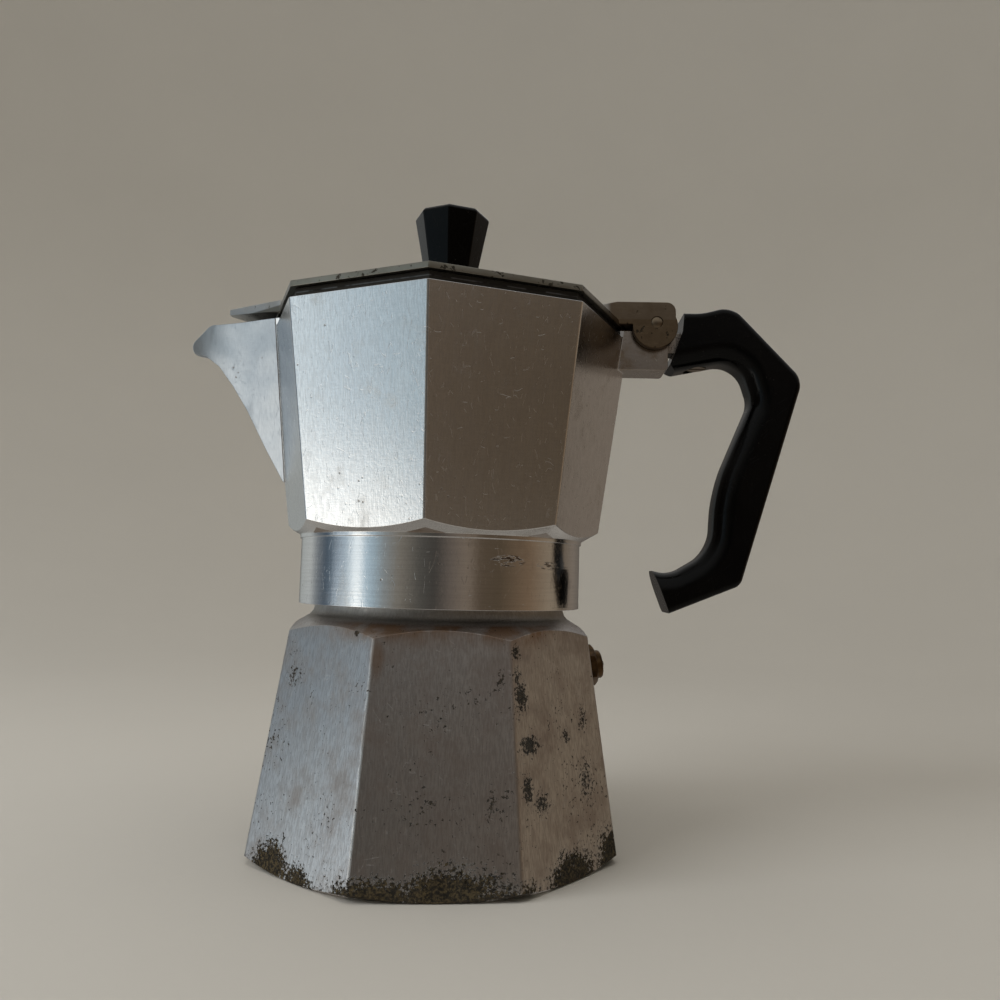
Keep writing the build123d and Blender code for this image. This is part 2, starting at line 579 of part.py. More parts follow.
def make_ears():
    """The block behind the lid's rim and the two ears that it carries to either side of the lug."""
    block = side_slab([
        (BLOCK_ROOT_X, BLOCK_FOOT_Z), (BLOCK_BACK_X, BLOCK_FOOT_Z), (BLOCK_BACK_X, EAR_TOP_Z),
        (BLOCK_SHOULDER_X, EAR_TOP_Z), (BLOCK_ROOT_X, BLOCK_ROOT_TOP_Z),
    ], EAR_OUTER_Y)
    corner_x = EAR_BACK_X - EAR_CORNER_RADIUS
    corner_z = EAR_TOP_Z - EAR_CORNER_RADIUS
    width = 2 * EAR_OUTER_Y
    ears = side_slab([
        (BLOCK_BACK_X - OVERLAP, BLOCK_FOOT_Z), (EAR_BACK_X, BLOCK_FOOT_Z), (EAR_BACK_X, corner_z),
        (corner_x, corner_z), (corner_x, EAR_TOP_Z), (BLOCK_BACK_X - OVERLAP, EAR_TOP_Z),
    ], EAR_OUTER_Y)
    ears += crosswise(EAR_CORNER_RADIUS, width, corner_x, corner_z)
    ears += crosswise(EAR_ROUND_RADIUS, width, EAR_ROUND_X, EAR_ROUND_Z)
    gap_foot_z = EAR_ROUND_Z - EAR_ROUND_RADIUS - OVERSHOOT
    gap_top_z = EAR_TOP_Z + OVERSHOOT
    gap_back_x = EAR_BACK_X + OVERSHOOT
    ears -= side_slab([
        (BLOCK_BACK_X, gap_foot_z), (gap_back_x, gap_foot_z), (gap_back_x, gap_top_z), (BLOCK_BACK_X, gap_top_z),
    ], EAR_INNER_Y)
    ears -= side_slab([
        (BLOCK_ROOT_X, gap_foot_z), (BLOCK_BACK_X, gap_foot_z), (BLOCK_BACK_X, BLOCK_FOOT_Z),
        (BLOCK_ROOT_X, BLOCK_FOOT_Z),
    ], EAR_INNER_Y)
    return block + ears - crosswise(PIN_RADIUS + PIN_CLEARANCE, 4 * EAR_OUTER_Y, PIN_X, PIN_Z)


def make_tab():
    """The pointed flap of the lid, which rises a little as it reaches out over the spout's trough."""
    tip_foot_z = LID_SEAT_Z + TAB_TIP_RISE
    root_top_z = LID_SEAT_Z + TAB_THICKNESS
    plan = make_face(Polyline(
        (-TAB_INNER_X, -TAB_ROOT_HALF_WIDTH), (-TAB_ROOT_X, -TAB_ROOT_HALF_WIDTH),
        (-TAB_TIP_X, -TAB_TIP_HALF_WIDTH), (-TAB_TIP_X, TAB_TIP_HALF_WIDTH),
        (-TAB_ROOT_X, TAB_ROOT_HALF_WIDTH), (-TAB_INNER_X, TAB_ROOT_HALF_WIDTH), close=True,
    ))
    profile = side_slab([
        (-TAB_INNER_X, LID_SEAT_Z), (-TAB_ROOT_X, LID_SEAT_Z), (-TAB_TIP_X, tip_foot_z),
        (-TAB_TIP_X, tip_foot_z + TAB_TIP_THICKNESS), (-TAB_ROOT_X, root_top_z), (-TAB_INNER_X, root_top_z),
    ], TAB_ROOT_HALF_WIDTH)
    return profile & extrude(Pos(0, 0, LID_SEAT_Z) * plan, TAB_TIP_RISE + TAB_THICKNESS)


def make_lid():
    """Octagonal lid with a low hollow roof, the flap over the spout and the ears of the hinge."""
    rim_top_z = LID_SEAT_Z + LID_EDGE
    lid = octagon_frustum(LID_RADIUS, LID_SEAT_Z, LID_RADIUS, rim_top_z, COLLECTOR_CLOCK)
    lid += octagon_frustum(ROOF_FOOT_RADIUS, rim_top_z, ROOF_TOP_RADIUS, ROOF_TOP_Z, COLLECTOR_CLOCK)
    lid += make_tab()
    lid += make_ears()
    hollow_top_z = ROOF_TOP_Z - ROOF_THICKNESS
    lid -= octagon_frustum(LID_HOLLOW_RADIUS, LID_SEAT_Z, ROOF_TOP_RADIUS, hollow_top_z, COLLECTOR_CLOCK)
    return lid - upright(KNOB_SCREW_RADIUS + SCREW_FIT, LID_SEAT_Z, ROOF_TOP_Z)


def make_knob():
    """Octagonal knob that widens upwards, with a hole for its screw."""
    knob = octagon_frustum(KNOB_FOOT_RADIUS, ROOF_TOP_Z, KNOB_TOP_RADIUS, KNOB_TOP_Z, COLLECTOR_CLOCK)
    knob = chamfer(knob.faces().sort_by(Axis.Z)[-1].edges(), KNOB_EDGE)
    return knob - upright(KNOB_SCREW_RADIUS + SCREW_FIT, ROOF_TOP_Z, KNOB_SCREW_TOP_Z + SCREW_END_GAP)


def make_knob_washer():
    """Flat washer between the lid's underside and the knob screw's head."""
    high_z = ROOF_TOP_Z - ROOF_THICKNESS
    return ring_solid(KNOB_SCREW_RADIUS + SCREW_FIT, KNOB_WASHER_RADIUS, high_z - KNOB_WASHER_THICKNESS, high_z)


def make_knob_screw():
    """Slotted screw up through the lid into the knob."""
    seat_z = ROOF_TOP_Z - ROOF_THICKNESS - KNOB_WASHER_THICKNESS
    screw = upright(KNOB_SCREW_HEAD_RADIUS, seat_z - KNOB_SCREW_HEAD, seat_z)
    screw += upright(KNOB_SCREW_RADIUS, seat_z, KNOB_SCREW_TOP_Z)
    return screw - Pos(0, 0, seat_z - KNOB_SCREW_HEAD) * Box(2 * KNOB_SCREW_HEAD_RADIUS, SLOT_WIDTH, SLOT_DEPTH)


def main():
    """Writes every piece to its own file, named after the piece."""
    os.makedirs("parts", exist_ok=True)
    pieces = {
        "boiler": make_boiler(),
        "valve_body": make_valve_body(),
        "valve_washer": make_valve_washer(),
        "valve_cap": make_valve_cap(),
        "valve_spring": make_valve_spring(),
        "valve_piston": make_valve_piston(),
        "valve_seal": make_valve_seal(),
        "funnel": make_funnel(),
        "funnel_stem": ring_solid(STEM_BORE_RADIUS, STEM_RADIUS, STEM_FOOT_Z, STEM_STOP_Z),
        "funnel_sieve": make_sieve(),
        "filter_plate": make_filter_plate(),
        "seal_ring": ring_solid(SEAL_HOLE_RADIUS, SEAL_RADIUS, RIM_TOP_Z, SEAT_Z),
        "collector": make_collector(),
        "column": make_column(),
        "handle": make_handle(),
        "handle_screw": make_handle_screw(),
        "hinge_pin": make_hinge_pin(),
        "lid": make_lid(),
        "lid_knob": make_knob(),
        "knob_washer": make_knob_washer(),
        "knob_screw": make_knob_screw(),
    }
    for name, piece in pieces.items():
        export_step(piece, f"parts/{name}.step")


if __name__ == "__main__":
    main()
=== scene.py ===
import logging
import math
from dataclasses import dataclass
from enum import Enum

import bmesh
import bpy
from mathutils import Matrix, Vector


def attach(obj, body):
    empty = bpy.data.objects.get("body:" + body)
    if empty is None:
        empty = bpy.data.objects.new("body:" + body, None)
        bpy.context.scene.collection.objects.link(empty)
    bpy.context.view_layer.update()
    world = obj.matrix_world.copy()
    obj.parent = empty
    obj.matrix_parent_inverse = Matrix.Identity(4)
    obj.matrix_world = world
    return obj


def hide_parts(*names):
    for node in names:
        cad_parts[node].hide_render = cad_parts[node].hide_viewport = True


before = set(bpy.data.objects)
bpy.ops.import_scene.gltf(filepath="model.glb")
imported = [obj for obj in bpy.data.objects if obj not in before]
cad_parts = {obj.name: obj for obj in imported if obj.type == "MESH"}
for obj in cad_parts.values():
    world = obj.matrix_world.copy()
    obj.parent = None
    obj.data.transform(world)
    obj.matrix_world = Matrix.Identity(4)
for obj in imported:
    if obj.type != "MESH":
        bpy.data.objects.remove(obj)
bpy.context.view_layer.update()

LOG = logging.getLogger("moka_pot")
MM = 0.001
FINE_STEPS = 144
SIDES = 8
HALF_SIDE = math.radians(180 / SIDES)
SIDE_SHARE = math.cos(HALF_SIDE)
SHARP = math.radians(24)
Point2 = tuple[float, float]
Point3 = tuple[float, float, float]
Colour = tuple[float, float, float]


# ---------------------------------------------------------------------------------------------------
# Shader expressions
# ---------------------------------------------------------------------------------------------------

class Wire:
    """A node's output, used in Python expressions as a number that varies over a surface."""

    def __init__(self, graph: "Graph", socket: bpy.types.NodeSocket) -> None:
        """Holds the socket and the graph that it belongs to.

        Args:
            graph: The node graph that new nodes are added to.
            socket: The output socket.
        """
        self.graph = graph
        self.socket = socket

    def _math(self, operation: str, first: "Wire | float", second: "Wire | float" = 0.0) -> "Wire":
        """Adds one Math node and returns its output."""
        return self.graph.add("ShaderNodeMath", {"operation": operation}, {0: first, 1: second})

    def __add__(self, other: "Wire | float") -> "Wire":
        """Sum."""
        return self._math("ADD", self, other)

    def __radd__(self, other: float) -> "Wire":
        """Sum with a number on the left."""
        return self._math("ADD", other, self)

    def __sub__(self, other: "Wire | float") -> "Wire":
        """Difference."""
        return self._math("SUBTRACT", self, other)

    def __rsub__(self, other: float) -> "Wire":
        """Difference from a number on the left."""
        return self._math("SUBTRACT", other, self)

    def __mul__(self, other: "Wire | float") -> "Wire":
        """Product."""
        return self._math("MULTIPLY", self, other)

    def __rmul__(self, other: float) -> "Wire":
        """Product with a number on the left."""
        return self._math("MULTIPLY", other, self)

    def __truediv__(self, other: "Wire | float") -> "Wire":
        """Quotient."""
        return self._math("DIVIDE", self, other)

    def __pow__(self, other: float) -> "Wire":
        """Power."""
        return self._math("POWER", self, other)

    def most(self, other: "Wire | float") -> "Wire":
        """The larger of the two."""
        return self._math("MAXIMUM", self, other)

    def least(self, other: "Wire | float") -> "Wire":
        """The smaller of the two."""
        return self._math("MINIMUM", self, other)

    def size(self) -> "Wire":
        """The value without its sign."""
        return self._math("ABSOLUTE", self)

    def rising(self, low: float, high: float) -> "Wire":
        """A soft step.

        Args:
            low: The value at which the step starts; it may be above high for a falling step.
            high: The value at which the step ends.

        Returns:
            0 before low and 1 past high, with a smooth change in between.
        """
        return self.graph.add("ShaderNodeMapRange", {"interpolation_type": "SMOOTHSTEP"},
                              {"Value": self, "From Min": low, "From Max": high})


class Graph:
    """The node graph of one material, with a Principled surface."""

    def __init__(self, name: str) -> None:
        """Makes the material.

        Args:
            name: The material's name.
        """
        self.material = bpy.data.materials.new(name)
        self.material.use_nodes = True
        self.tree = self.material.node_tree
        self.surface = self.tree.nodes["Principled BSDF"]
        self.place = self.add("ShaderNodeTexCoord", {}, {}, "Object")
        self.axes = {}
        for axis in "XYZ":
            self.axes[axis] = self.add("ShaderNodeSeparateXYZ", {}, {0: self.place}, axis)

    def add(self, kind: str, settings: dict, inputs: dict, output: int | str = 0) -> Wire:
        """Adds one node.

        Args:
            kind: The node's type name.
            settings: Its own properties, with a colour ramp's stops under "stops".
            inputs: Numbers, colours or wires for its sockets, by name or index.
            output: Which output to return.

        Returns:
            The chosen output.
        """
        node = self.tree.nodes.new(kind)
        for key, value in settings.items():
            if key == "stops":
                self._set_stops(node.color_ramp, value)
            else:
                setattr(node, key, value)
        for key, value in inputs.items():
            if isinstance(value, Wire):
                self.tree.links.new(value.socket, node.inputs[key])
            elif isinstance(value, tuple) and len(value) == 3 and node.inputs[key].type == "RGBA":
                node.inputs[key].default_value = (*value, 1.0)
            else:
                node.inputs[key].default_value = value
        return Wire(self, node.outputs[output])

    @staticmethod
    def _set_stops(ramp: bpy.types.ColorRamp, stops: list[tuple[float, Colour]]) -> None:
        """Gives a ramp its stops, as (position, colour) pairs in rising order.

        Args:
            ramp: The colour ramp's node.
            stops: Position and colour of each stop.
        """
        while len(ramp.elements) < len(stops):
            ramp.elements.new(1.0)
        for element, (position, colour) in zip(ramp.elements, stops):
            element.position = position
            element.color = (*colour, 1.0)

    def stretched(self, stretch: Point3, shift: Point3 = (0.0, 0.0, 0.0),
                  turn: Point3 = (0.0, 0.0, 0.0)) -> Wire:
        """The object's coordinates, turned, scaled and moved, to make a pattern's grain run one way.

        Args:
            stretch: Scale along X, Y and Z.
            shift: Offset in metres.
            turn: Angles about X, Y and Z in degrees.

        Returns:
            The new coordinates.
        """
        turned = self.add("ShaderNodeMapping", {}, {
            "Vector": self.place, "Rotation": tuple(math.radians(angle) for angle in turn),
        })
        return self.add("ShaderNodeMapping", {}, {"Vector": turned, "Scale": stretch, "Location": shift})

    def noise(self, period: float, detail: float = 3.0, stretch: Point3 = (1.0, 1.0, 1.0),
              shift: Point3 = (0.0, 0.0, 0.0), roughness: float = 0.55,
              turn: Point3 = (0.0, 0.0, 0.0)) -> Wire:
        """Cloudy noise from 0 to 1.

        Args:
            period: Size of its largest features in millimetres.
            detail: How many finer layers it has.
            stretch: Share of the frequency that is kept along X, Y and Z.
            shift: Offset of the pattern, in metres.
            roughness: Strength of the finer layers.
            turn: Angles that the pattern is turned by, in degrees.

        Returns:
            The noise value.
        """
        return self.add("ShaderNodeTexNoise", {}, {
            "Vector": self.stretched(stretch, shift, turn), "Scale": 1 / (period * MM), "Detail": detail,
            "Roughness": roughness,
        })

    def cells(self, period: float, stretch: Point3 = (1.0, 1.0, 1.0), shift: Point3 = (0.0, 0.0, 0.0)) -> Wire:
        """Distance to the nearest of many scattered points, from 0 at a point.

        Args:
            period: Mean distance between the points in millimetres.
            stretch: Share of the frequency that is kept along X, Y and Z.
            shift: Offset of the pattern, in metres.

        Returns:
            The distance, in periods.
        """
        return self.add("ShaderNodeTexVoronoi", {}, {
            "Vector": self.stretched(stretch, shift), "Scale": 1 / (period * MM), "Randomness": 1.0,
        })

    def patch(self, centre: Point3, reach: Point3) -> Wire:
        """A soft round patch.

        Args:
            centre: Its middle in millimetres.
            reach: Its half-sizes along X, Y and Z in millimetres.

        Returns:
            1 at the middle, falling to 0 at the edge.
        """
        moved = self.add("ShaderNodeVectorMath", {"operation": "SUBTRACT"},
                         {0: self.place, 1: tuple(value * MM for value in centre)})
        scaled = self.add("ShaderNodeVectorMath", {"operation": "MULTIPLY"},
                          {0: moved, 1: tuple(1 / (value * MM) for value in reach)})
        distance = self.add("ShaderNodeVectorMath", {"operation": "LENGTH"}, {0: scaled}, "Value")
        return (1 - distance).most(0.0)

    def radius(self) -> Wire:
        """Distance from the pot's axis, in metres."""
        return (self.axes["X"] * self.axes["X"] + self.axes["Y"] * self.axes["Y"]) ** 0.5

    def octagon(self) -> Wire:
        """Distance from the pot's axis, measured square to the jug's nearest side, in metres.

        Returns:
            The distance.
        """
        farthest = None
        for side in range(SIDES // 2):
            turn = HALF_SIDE + side * 2 * HALF_SIDE
            reach = (self.axes["X"] * math.cos(turn) + self.axes["Y"] * math.sin(turn)).size()
            farthest = reach if farthest is None else farthest.most(reach)
        return farthest

    def mix(self, share: Wire, first: "Wire | Colour", second: "Wire | Colour") -> Wire:
        """A colour between two others.

        Args:
            share: 0 for the first colour and 1 for the second.
            first: The first colour.
            second: The second colour.

        Returns:
            The mixed colour.
        """
        return self.add("ShaderNodeMix", {"data_type": "RGBA"}, {0: share, 6: first, 7: second}, 2)

    def relief(self, height: Wire, depth: float, below: Wire | None = None) -> Wire:
        """Surface relief.

        Args:
            height: Relief from 0 to 1.
            depth: Its depth in millimetres.
            below: A coarser relief that it lies on.

        Returns:
            The bent normal.
        """
        inputs = {"Height": height, "Distance": depth * MM, "Strength": 1.0}
        if below is not None:
            inputs["Normal"] = below
        return self.add("ShaderNodeBump", {}, inputs)

    def finish(self, **sockets: "Wire | float | Colour") -> bpy.types.Material:
        """Sets the surface's sockets.

        Args:
            **sockets: Values or wires by socket name, with _ for a space.

        Returns:
            The finished material.
        """
        for key, value in sockets.items():
            socket = self.surface.inputs[key.replace("_", " ")]
            if isinstance(value, Wire):
                self.tree.links.new(value.socket, socket)
            elif isinstance(value, tuple):
                socket.default_value = (*value, 1.0)
            else:
                socket.default_value = value
        return self.material


# ---------------------------------------------------------------------------------------------------
# Finishes
# ---------------------------------------------------------------------------------------------------

VERTICAL_GRAIN = (1.0, 1.0, 0.035)
ROUND_GRAIN = (0.03, 0.03, 1.0)


@dataclass(frozen=True)
class ScratchSet:
    """Thin random scratches, all in one rough direction."""

    period: float = 5.0
    turn: Point3 = (0.0, 0.0, 0.0)
    shift: Point3 = (0.0, 0.0, 0.0)
    width: float = 0.011
    length: float = 0.12
    share: float = 0.57

    def mask(self, graph: Graph) -> Wire:
        """Where the scratches are.

        Args:
            graph: The graph of the material that has them.

        Returns:
            1 on a scratch, 0 elsewhere.
        """
        lines = graph.noise(self.period, 0.0, (1.0, 1.0, self.length), self.shift, 0.3, self.turn)
        line = (lines - 0.5).size().rising(self.width, self.width * 0.3)
        shift = tuple(value + 0.37 for value in self.shift)
        broken = graph.noise(self.period * 0.8, 1.0, shift=shift).rising(self.share, self.share + 0.05)
        return line * broken


def scratches_of(graph: Graph, sets: tuple[ScratchSet, ...]) -> Wire:
    """The scratches of several sets together.

    Args:
        graph: The graph of the material that has them.
        sets: The sets.

    Returns:
        1 on a scratch, 0 elsewhere.
    """
    mask = sets[0].mask(graph)
    for item in sets[1:]:
        mask = mask.most(item.mask(graph))
    return mask


JUG_SCRATCHES = (
    ScratchSet(2.4, (4.0, 6.0, 0.0), (0.1, 0.0, 0.0)),
    ScratchSet(3.1, (-12.0, -18.0, 0.0), (0.5, 0.2, 0.1), share=0.59),
    ScratchSet(3.4, (30.0, 48.0, 10.0), (0.2, 0.7, 0.3), share=0.63),
    ScratchSet(2.8, (-50.0, -66.0, 20.0), (0.8, 0.3, 0.6), share=0.64),
)
BOILER_SCRATCHES = (
    ScratchSet(2.6, (2.0, -4.0, 0.0), (0.3, 0.0, 0.2)),
    ScratchSet(3.6, (20.0, 30.0, 0.0), (0.6, 0.1, 0.7), share=0.61),
    ScratchSet(3.2, (-40.0, -58.0, 10.0), (0.2, 0.5, 0.5), share=0.63),
    ScratchSet(4.4, (80.0, 84.0, 0.0), (0.9, 0.5, 0.1), share=0.64),
)


@dataclass(frozen=True)
class CollectorAluminium:
    """Cast aluminium of the jug, milled on its sides and polished on its collar."""

    collar_top: float = 78.1
    floor: Point2 = (38.4, 80.4)
    mouth: Point2 = (45.2, 135.2)
    margin: float = 0.3
    side_foot: Point2 = (41.5, 80.7)
    side_top: Point2 = (48.7, 132.7)
    groove: Point2 = (132.9, 135.1)

    def _outgrowth(self, graph: Graph, collar: Wire) -> Wire:
        """The spout and the lug, which stand out from the jug's flat sides.

        Args:
            graph: The finish's node graph.
            collar: Mask of the round collar.

        Returns:
            The mask.
        """
        taper = (self.side_top[0] - self.side_foot[0]) / (self.side_top[1] - self.side_foot[1])
        side = (graph.axes["Z"] - self.side_foot[1] * MM) * (taper * SIDE_SHARE) + self.side_foot[0] * SIDE_SHARE * MM
        return (graph.octagon() - side).rising(0.05 * MM, 0.35 * MM) * (1 - collar)

    def _inside(self, graph: Graph, collar: Wire) -> Wire:
        """The chamber's inside, which coffee has browned.

        Args:
            graph: The finish's node graph.
            collar: Mask of the round collar.

        Returns:
            The mask.
        """
        taper = (self.mouth[0] - self.floor[0]) / (self.mouth[1] - self.floor[1])
        wall = (graph.axes["Z"] - self.floor[1] * MM) * (taper * SIDE_SHARE)
        wall = wall + (self.floor[0] * SIDE_SHARE + self.margin) * MM
        return (wall - graph.octagon()).rising(-0.1 * MM, 0.1 * MM) * (1 - collar)

    def _painted_groove_shade(self, graph: Graph, inside: Wire) -> Wire:
        """Painted shade: a near-black band in the groove under the lid, where shade falls between the jug and the lid.

        Args:
            graph: The finish's node graph.
            inside: Mask of the chamber's inside.

        Returns:
            The mask.
        """
        height = graph.axes["Z"]
        low = self.groove[0]
        near = (self.side_top[0] * SIDE_SHARE - 0.7) * MM
        groove = height.rising((low - 0.15) * MM, (low + 0.15) * MM) * (1 - inside)
        groove = groove * graph.octagon().rising(near + 0.3 * MM, near)
        # The painted shade is weaker along a thin line where the jug's rim shows.
        line = height.rising((low + 0.9) * MM, (low + 1.1) * MM) * height.rising((low + 1.5) * MM, (low + 1.3) * MM)
        worn = graph.noise(6.0, 3.0, shift=(0.3, 0.1, 0.2)).rising(0.42, 0.55)
        return groove * (1 - line * (0.12 + worn * 0.18))

    @staticmethod
    def _dashes(graph: Graph) -> Wire:
        """Short dark scuffs that run round the collar on its front right.

        Args:
            graph: The finish's node graph.

        Returns:
            The mask.
        """
        area = graph.patch((19.0, -31.5, 72.2), (7.0, 4.0, 1.6)).most(graph.patch((28.0, -23.5, 71.4), (5.0, 5.0, 1.1)))
        broken = graph.noise(1.8, 4.0, (1.0, 1.0, 3.4), (0.2, 0.1, 0.4)).rising(0.50, 0.56)
        return area.rising(0.05, 0.35) * broken

    def material(self) -> bpy.types.Material:
        """Builds the finish's nodes.

        Returns:
            The material.
        """
        graph = Graph("collector_aluminium")
        collar = graph.axes["Z"].rising(self.collar_top * MM, (self.collar_top - 0.4) * MM)
        inside = self._inside(graph, collar)
        grain = graph.noise(0.34, 3.0, VERTICAL_GRAIN)
        streaks = graph.noise(1.7, 2.0, VERTICAL_GRAIN, (0.1, 0.0, 0.0))
        turned = graph.noise(0.5, 3.0, ROUND_GRAIN)
        weave = graph.noise(0.30, 2.0, (0.12, 0.12, 1.0), (0.3, 0.6, 0.2))
        lines = (grain * 0.7 + weave * 0.3) * (1 - collar) + turned * collar
        colour = graph.mix(graph.noise(26.0, 4.0), (0.74, 0.75, 0.77), (0.83, 0.82, 0.80))
        colour = graph.mix(lines.rising(0.38, 0.62) * (0.30 - collar * 0.14), colour, (0.47, 0.46, 0.46))
        stains = graph.noise(8.0, 5.0, shift=(0.2, 0.4, 0.1)).rising(0.55, 0.78)
        colour = graph.mix(stains * 0.34, colour, (0.42, 0.37, 0.31))
        outgrowth = self._outgrowth(graph, collar)
        spout = outgrowth * graph.axes["X"].rising(0.0, -1.0 * MM)
        colour = graph.mix(spout * 0.72, colour, (0.29, 0.33, 0.37))
        lug = outgrowth * graph.axes["X"].rising(0.0, 1.0 * MM)
        colour = graph.mix(lug * (0.62 + stains * 0.3), colour, (0.24, 0.165, 0.095))
        dashes = self._dashes(graph)
        colour = graph.mix(dashes * 0.8, colour, (0.10, 0.07, 0.04))
        crumbs = graph.cells(2.2, shift=(0.02, 0.03, 0.05)).rising(0.15, 0.08)
        crumbs = crumbs * graph.noise(12.0, 2.0, shift=(0.6, 0.2, 0.4)).rising(0.56, 0.66)
        colour = graph.mix(crumbs * 0.6, colour, (0.20, 0.15, 0.11))
        painted_groove_shade = self._painted_groove_shade(graph, inside)
        # Painted shade: the groove under the lid is coloured near black, made rougher and less metallic.
        colour = graph.mix(painted_groove_shade.rising(0.0, 0.9) * 0.985, colour, (0.014, 0.011, 0.007))
        coffee = graph.noise(17.0, 6.0, shift=(0.1, 0.8, 0.2)).rising(0.30, 0.72)
        colour = graph.mix(inside * (0.35 + coffee * 0.5), colour, (0.24, 0.15, 0.08))
        scratches = scratches_of(graph, JUG_SCRATCHES)
        roughness = 0.135 + grain * 0.11 + streaks * 0.06 + stains * 0.10 + spout * 0.10
        roughness = roughness - collar * 0.085 + inside * 0.2 + painted_groove_shade * 0.3 + scratches * 0.08
        peel = graph.noise(0.8, 3.0, shift=(0.5, 0.5, 0.1))
        normal = graph.relief(graph.noise(13.0, 1.0, shift=(0.1, 0.6, 0.8)) * spout, 0.5)
        normal = graph.relief(peel, 0.015, normal)
        normal = graph.relief(lines, 0.013, normal)
        normal = graph.relief(1 - scratches, 0.009, normal)
        normal = graph.relief(1 - crumbs.most(dashes), 0.03, normal)
        return graph.finish(Base_Color=colour, Roughness=roughness, Metallic=1 - painted_groove_shade.rising(0.8, 1.0) * 0.8,
                            Specular_IOR_Level=0.2, Normal=normal)


@dataclass(frozen=True)
class Stain:
    """A patch of pits or burnt-on residue on the boiler, in millimetres."""

    centre: Point3
    reach: Point3
    strength: float = 1.0


PIT_PATCHES = (
    Stain((20.9, -33.8, 51.5), (2.4, 2.4, 2.8), 1.1),
    Stain((21.2, -34.4, 46.2), (2.4, 2.4, 3.4), 0.9),
    Stain((22.4, -34.4, 42.0), (3.4, 3.4, 6.0), 1.3),
    Stain((24.6, -34.0, 31.2), (6.4, 4.8, 3.6), 1.2),
    Stain((23.8, -36.0, 22.0), (3.0, 3.0, 5.0), 1.3),
    Stain((28.0, -33.2, 18.6), (5.4, 4.2, 4.0), 1.0),
    Stain((25.0, -32.6, 47.6), (1.8, 1.8, 2.8), 1.3),
    Stain((33.0, -23.0, 31.6), (2.6, 2.6, 2.8), 1.0),
    Stain((30.0, -27.0, 45.0), (3.4, 3.4, 1.4), 0.9),
    Stain((38.6, -19.6, 22.0), (4.0, 5.4, 9.0), 0.9),
    Stain((37.0, -17.0, 35.0), (3.0, 4.0, 5.0), 0.8),
    Stain((17.6, -36.6, 46.0), (1.8, 1.8, 4.8), 0.9),
    Stain((16.4, -39.6, 19.0), (2.2, 2.2, 6.0), 1.0),
    Stain((3.4, -42.0, 20.0), (2.4, 2.4, 1.8), 0.8),
    Stain((-31.6, -24.0, 44.0), (4.4, 4.4, 5.0), 0.8),
    Stain((-27.0, -30.0, 40.0), (2.6, 2.6, 6.0), 0.8),
    Stain((-33.0, -24.0, 50.0), (3.0, 4.0, 4.0), 0.8),
    Stain((-15.1, -34.8, 55.0), (1.3, 1.3, 1.0), 1.5),
    Stain((10.0, 40.0, 26.0), (14.0, 6.0, 10.0), 0.8),
    Stain((-42.0, 6.0, 20.0), (6.0, 14.0, 12.0), 0.8),
)
BURNT_PATCHES = (
    Stain((-34.0, -29.4, 2.6), (9.0, 8.0, 8.0), 1.1),
    Stain((-26.0, -36.0, 1.4), (7.0, 6.0, 4.4), 0.8),
    Stain((-7.0, -45.4, 0.6), (13.0, 6.0, 7.0), 1.15),
    Stain((9.0, -44.0, 1.6), (16.0, 7.0, 9.4), 1.25),
    Stain((22.0, -40.0, 0.6), (9.0, 7.0, 5.0), 0.9),
    Stain((36.0, -28.0, 1.6), (12.0, 11.0, 9.0), 1.2),
    Stain((44.0, -14.0, 3.0), (7.0, 9.0, 10.0), 1.2),
    Stain((38.0, 26.0, 2.0), (10.0, 12.0, 8.0), 1.0),
    Stain((6.0, 46.0, 2.0), (18.0, 8.0, 8.6), 1.1),
    Stain((-30.0, 34.0, 2.0), (14.0, 12.0, 7.0), 0.9),
    Stain((-46.0, 2.0, 2.0), (7.0, 16.0, 8.0), 1.0),
)


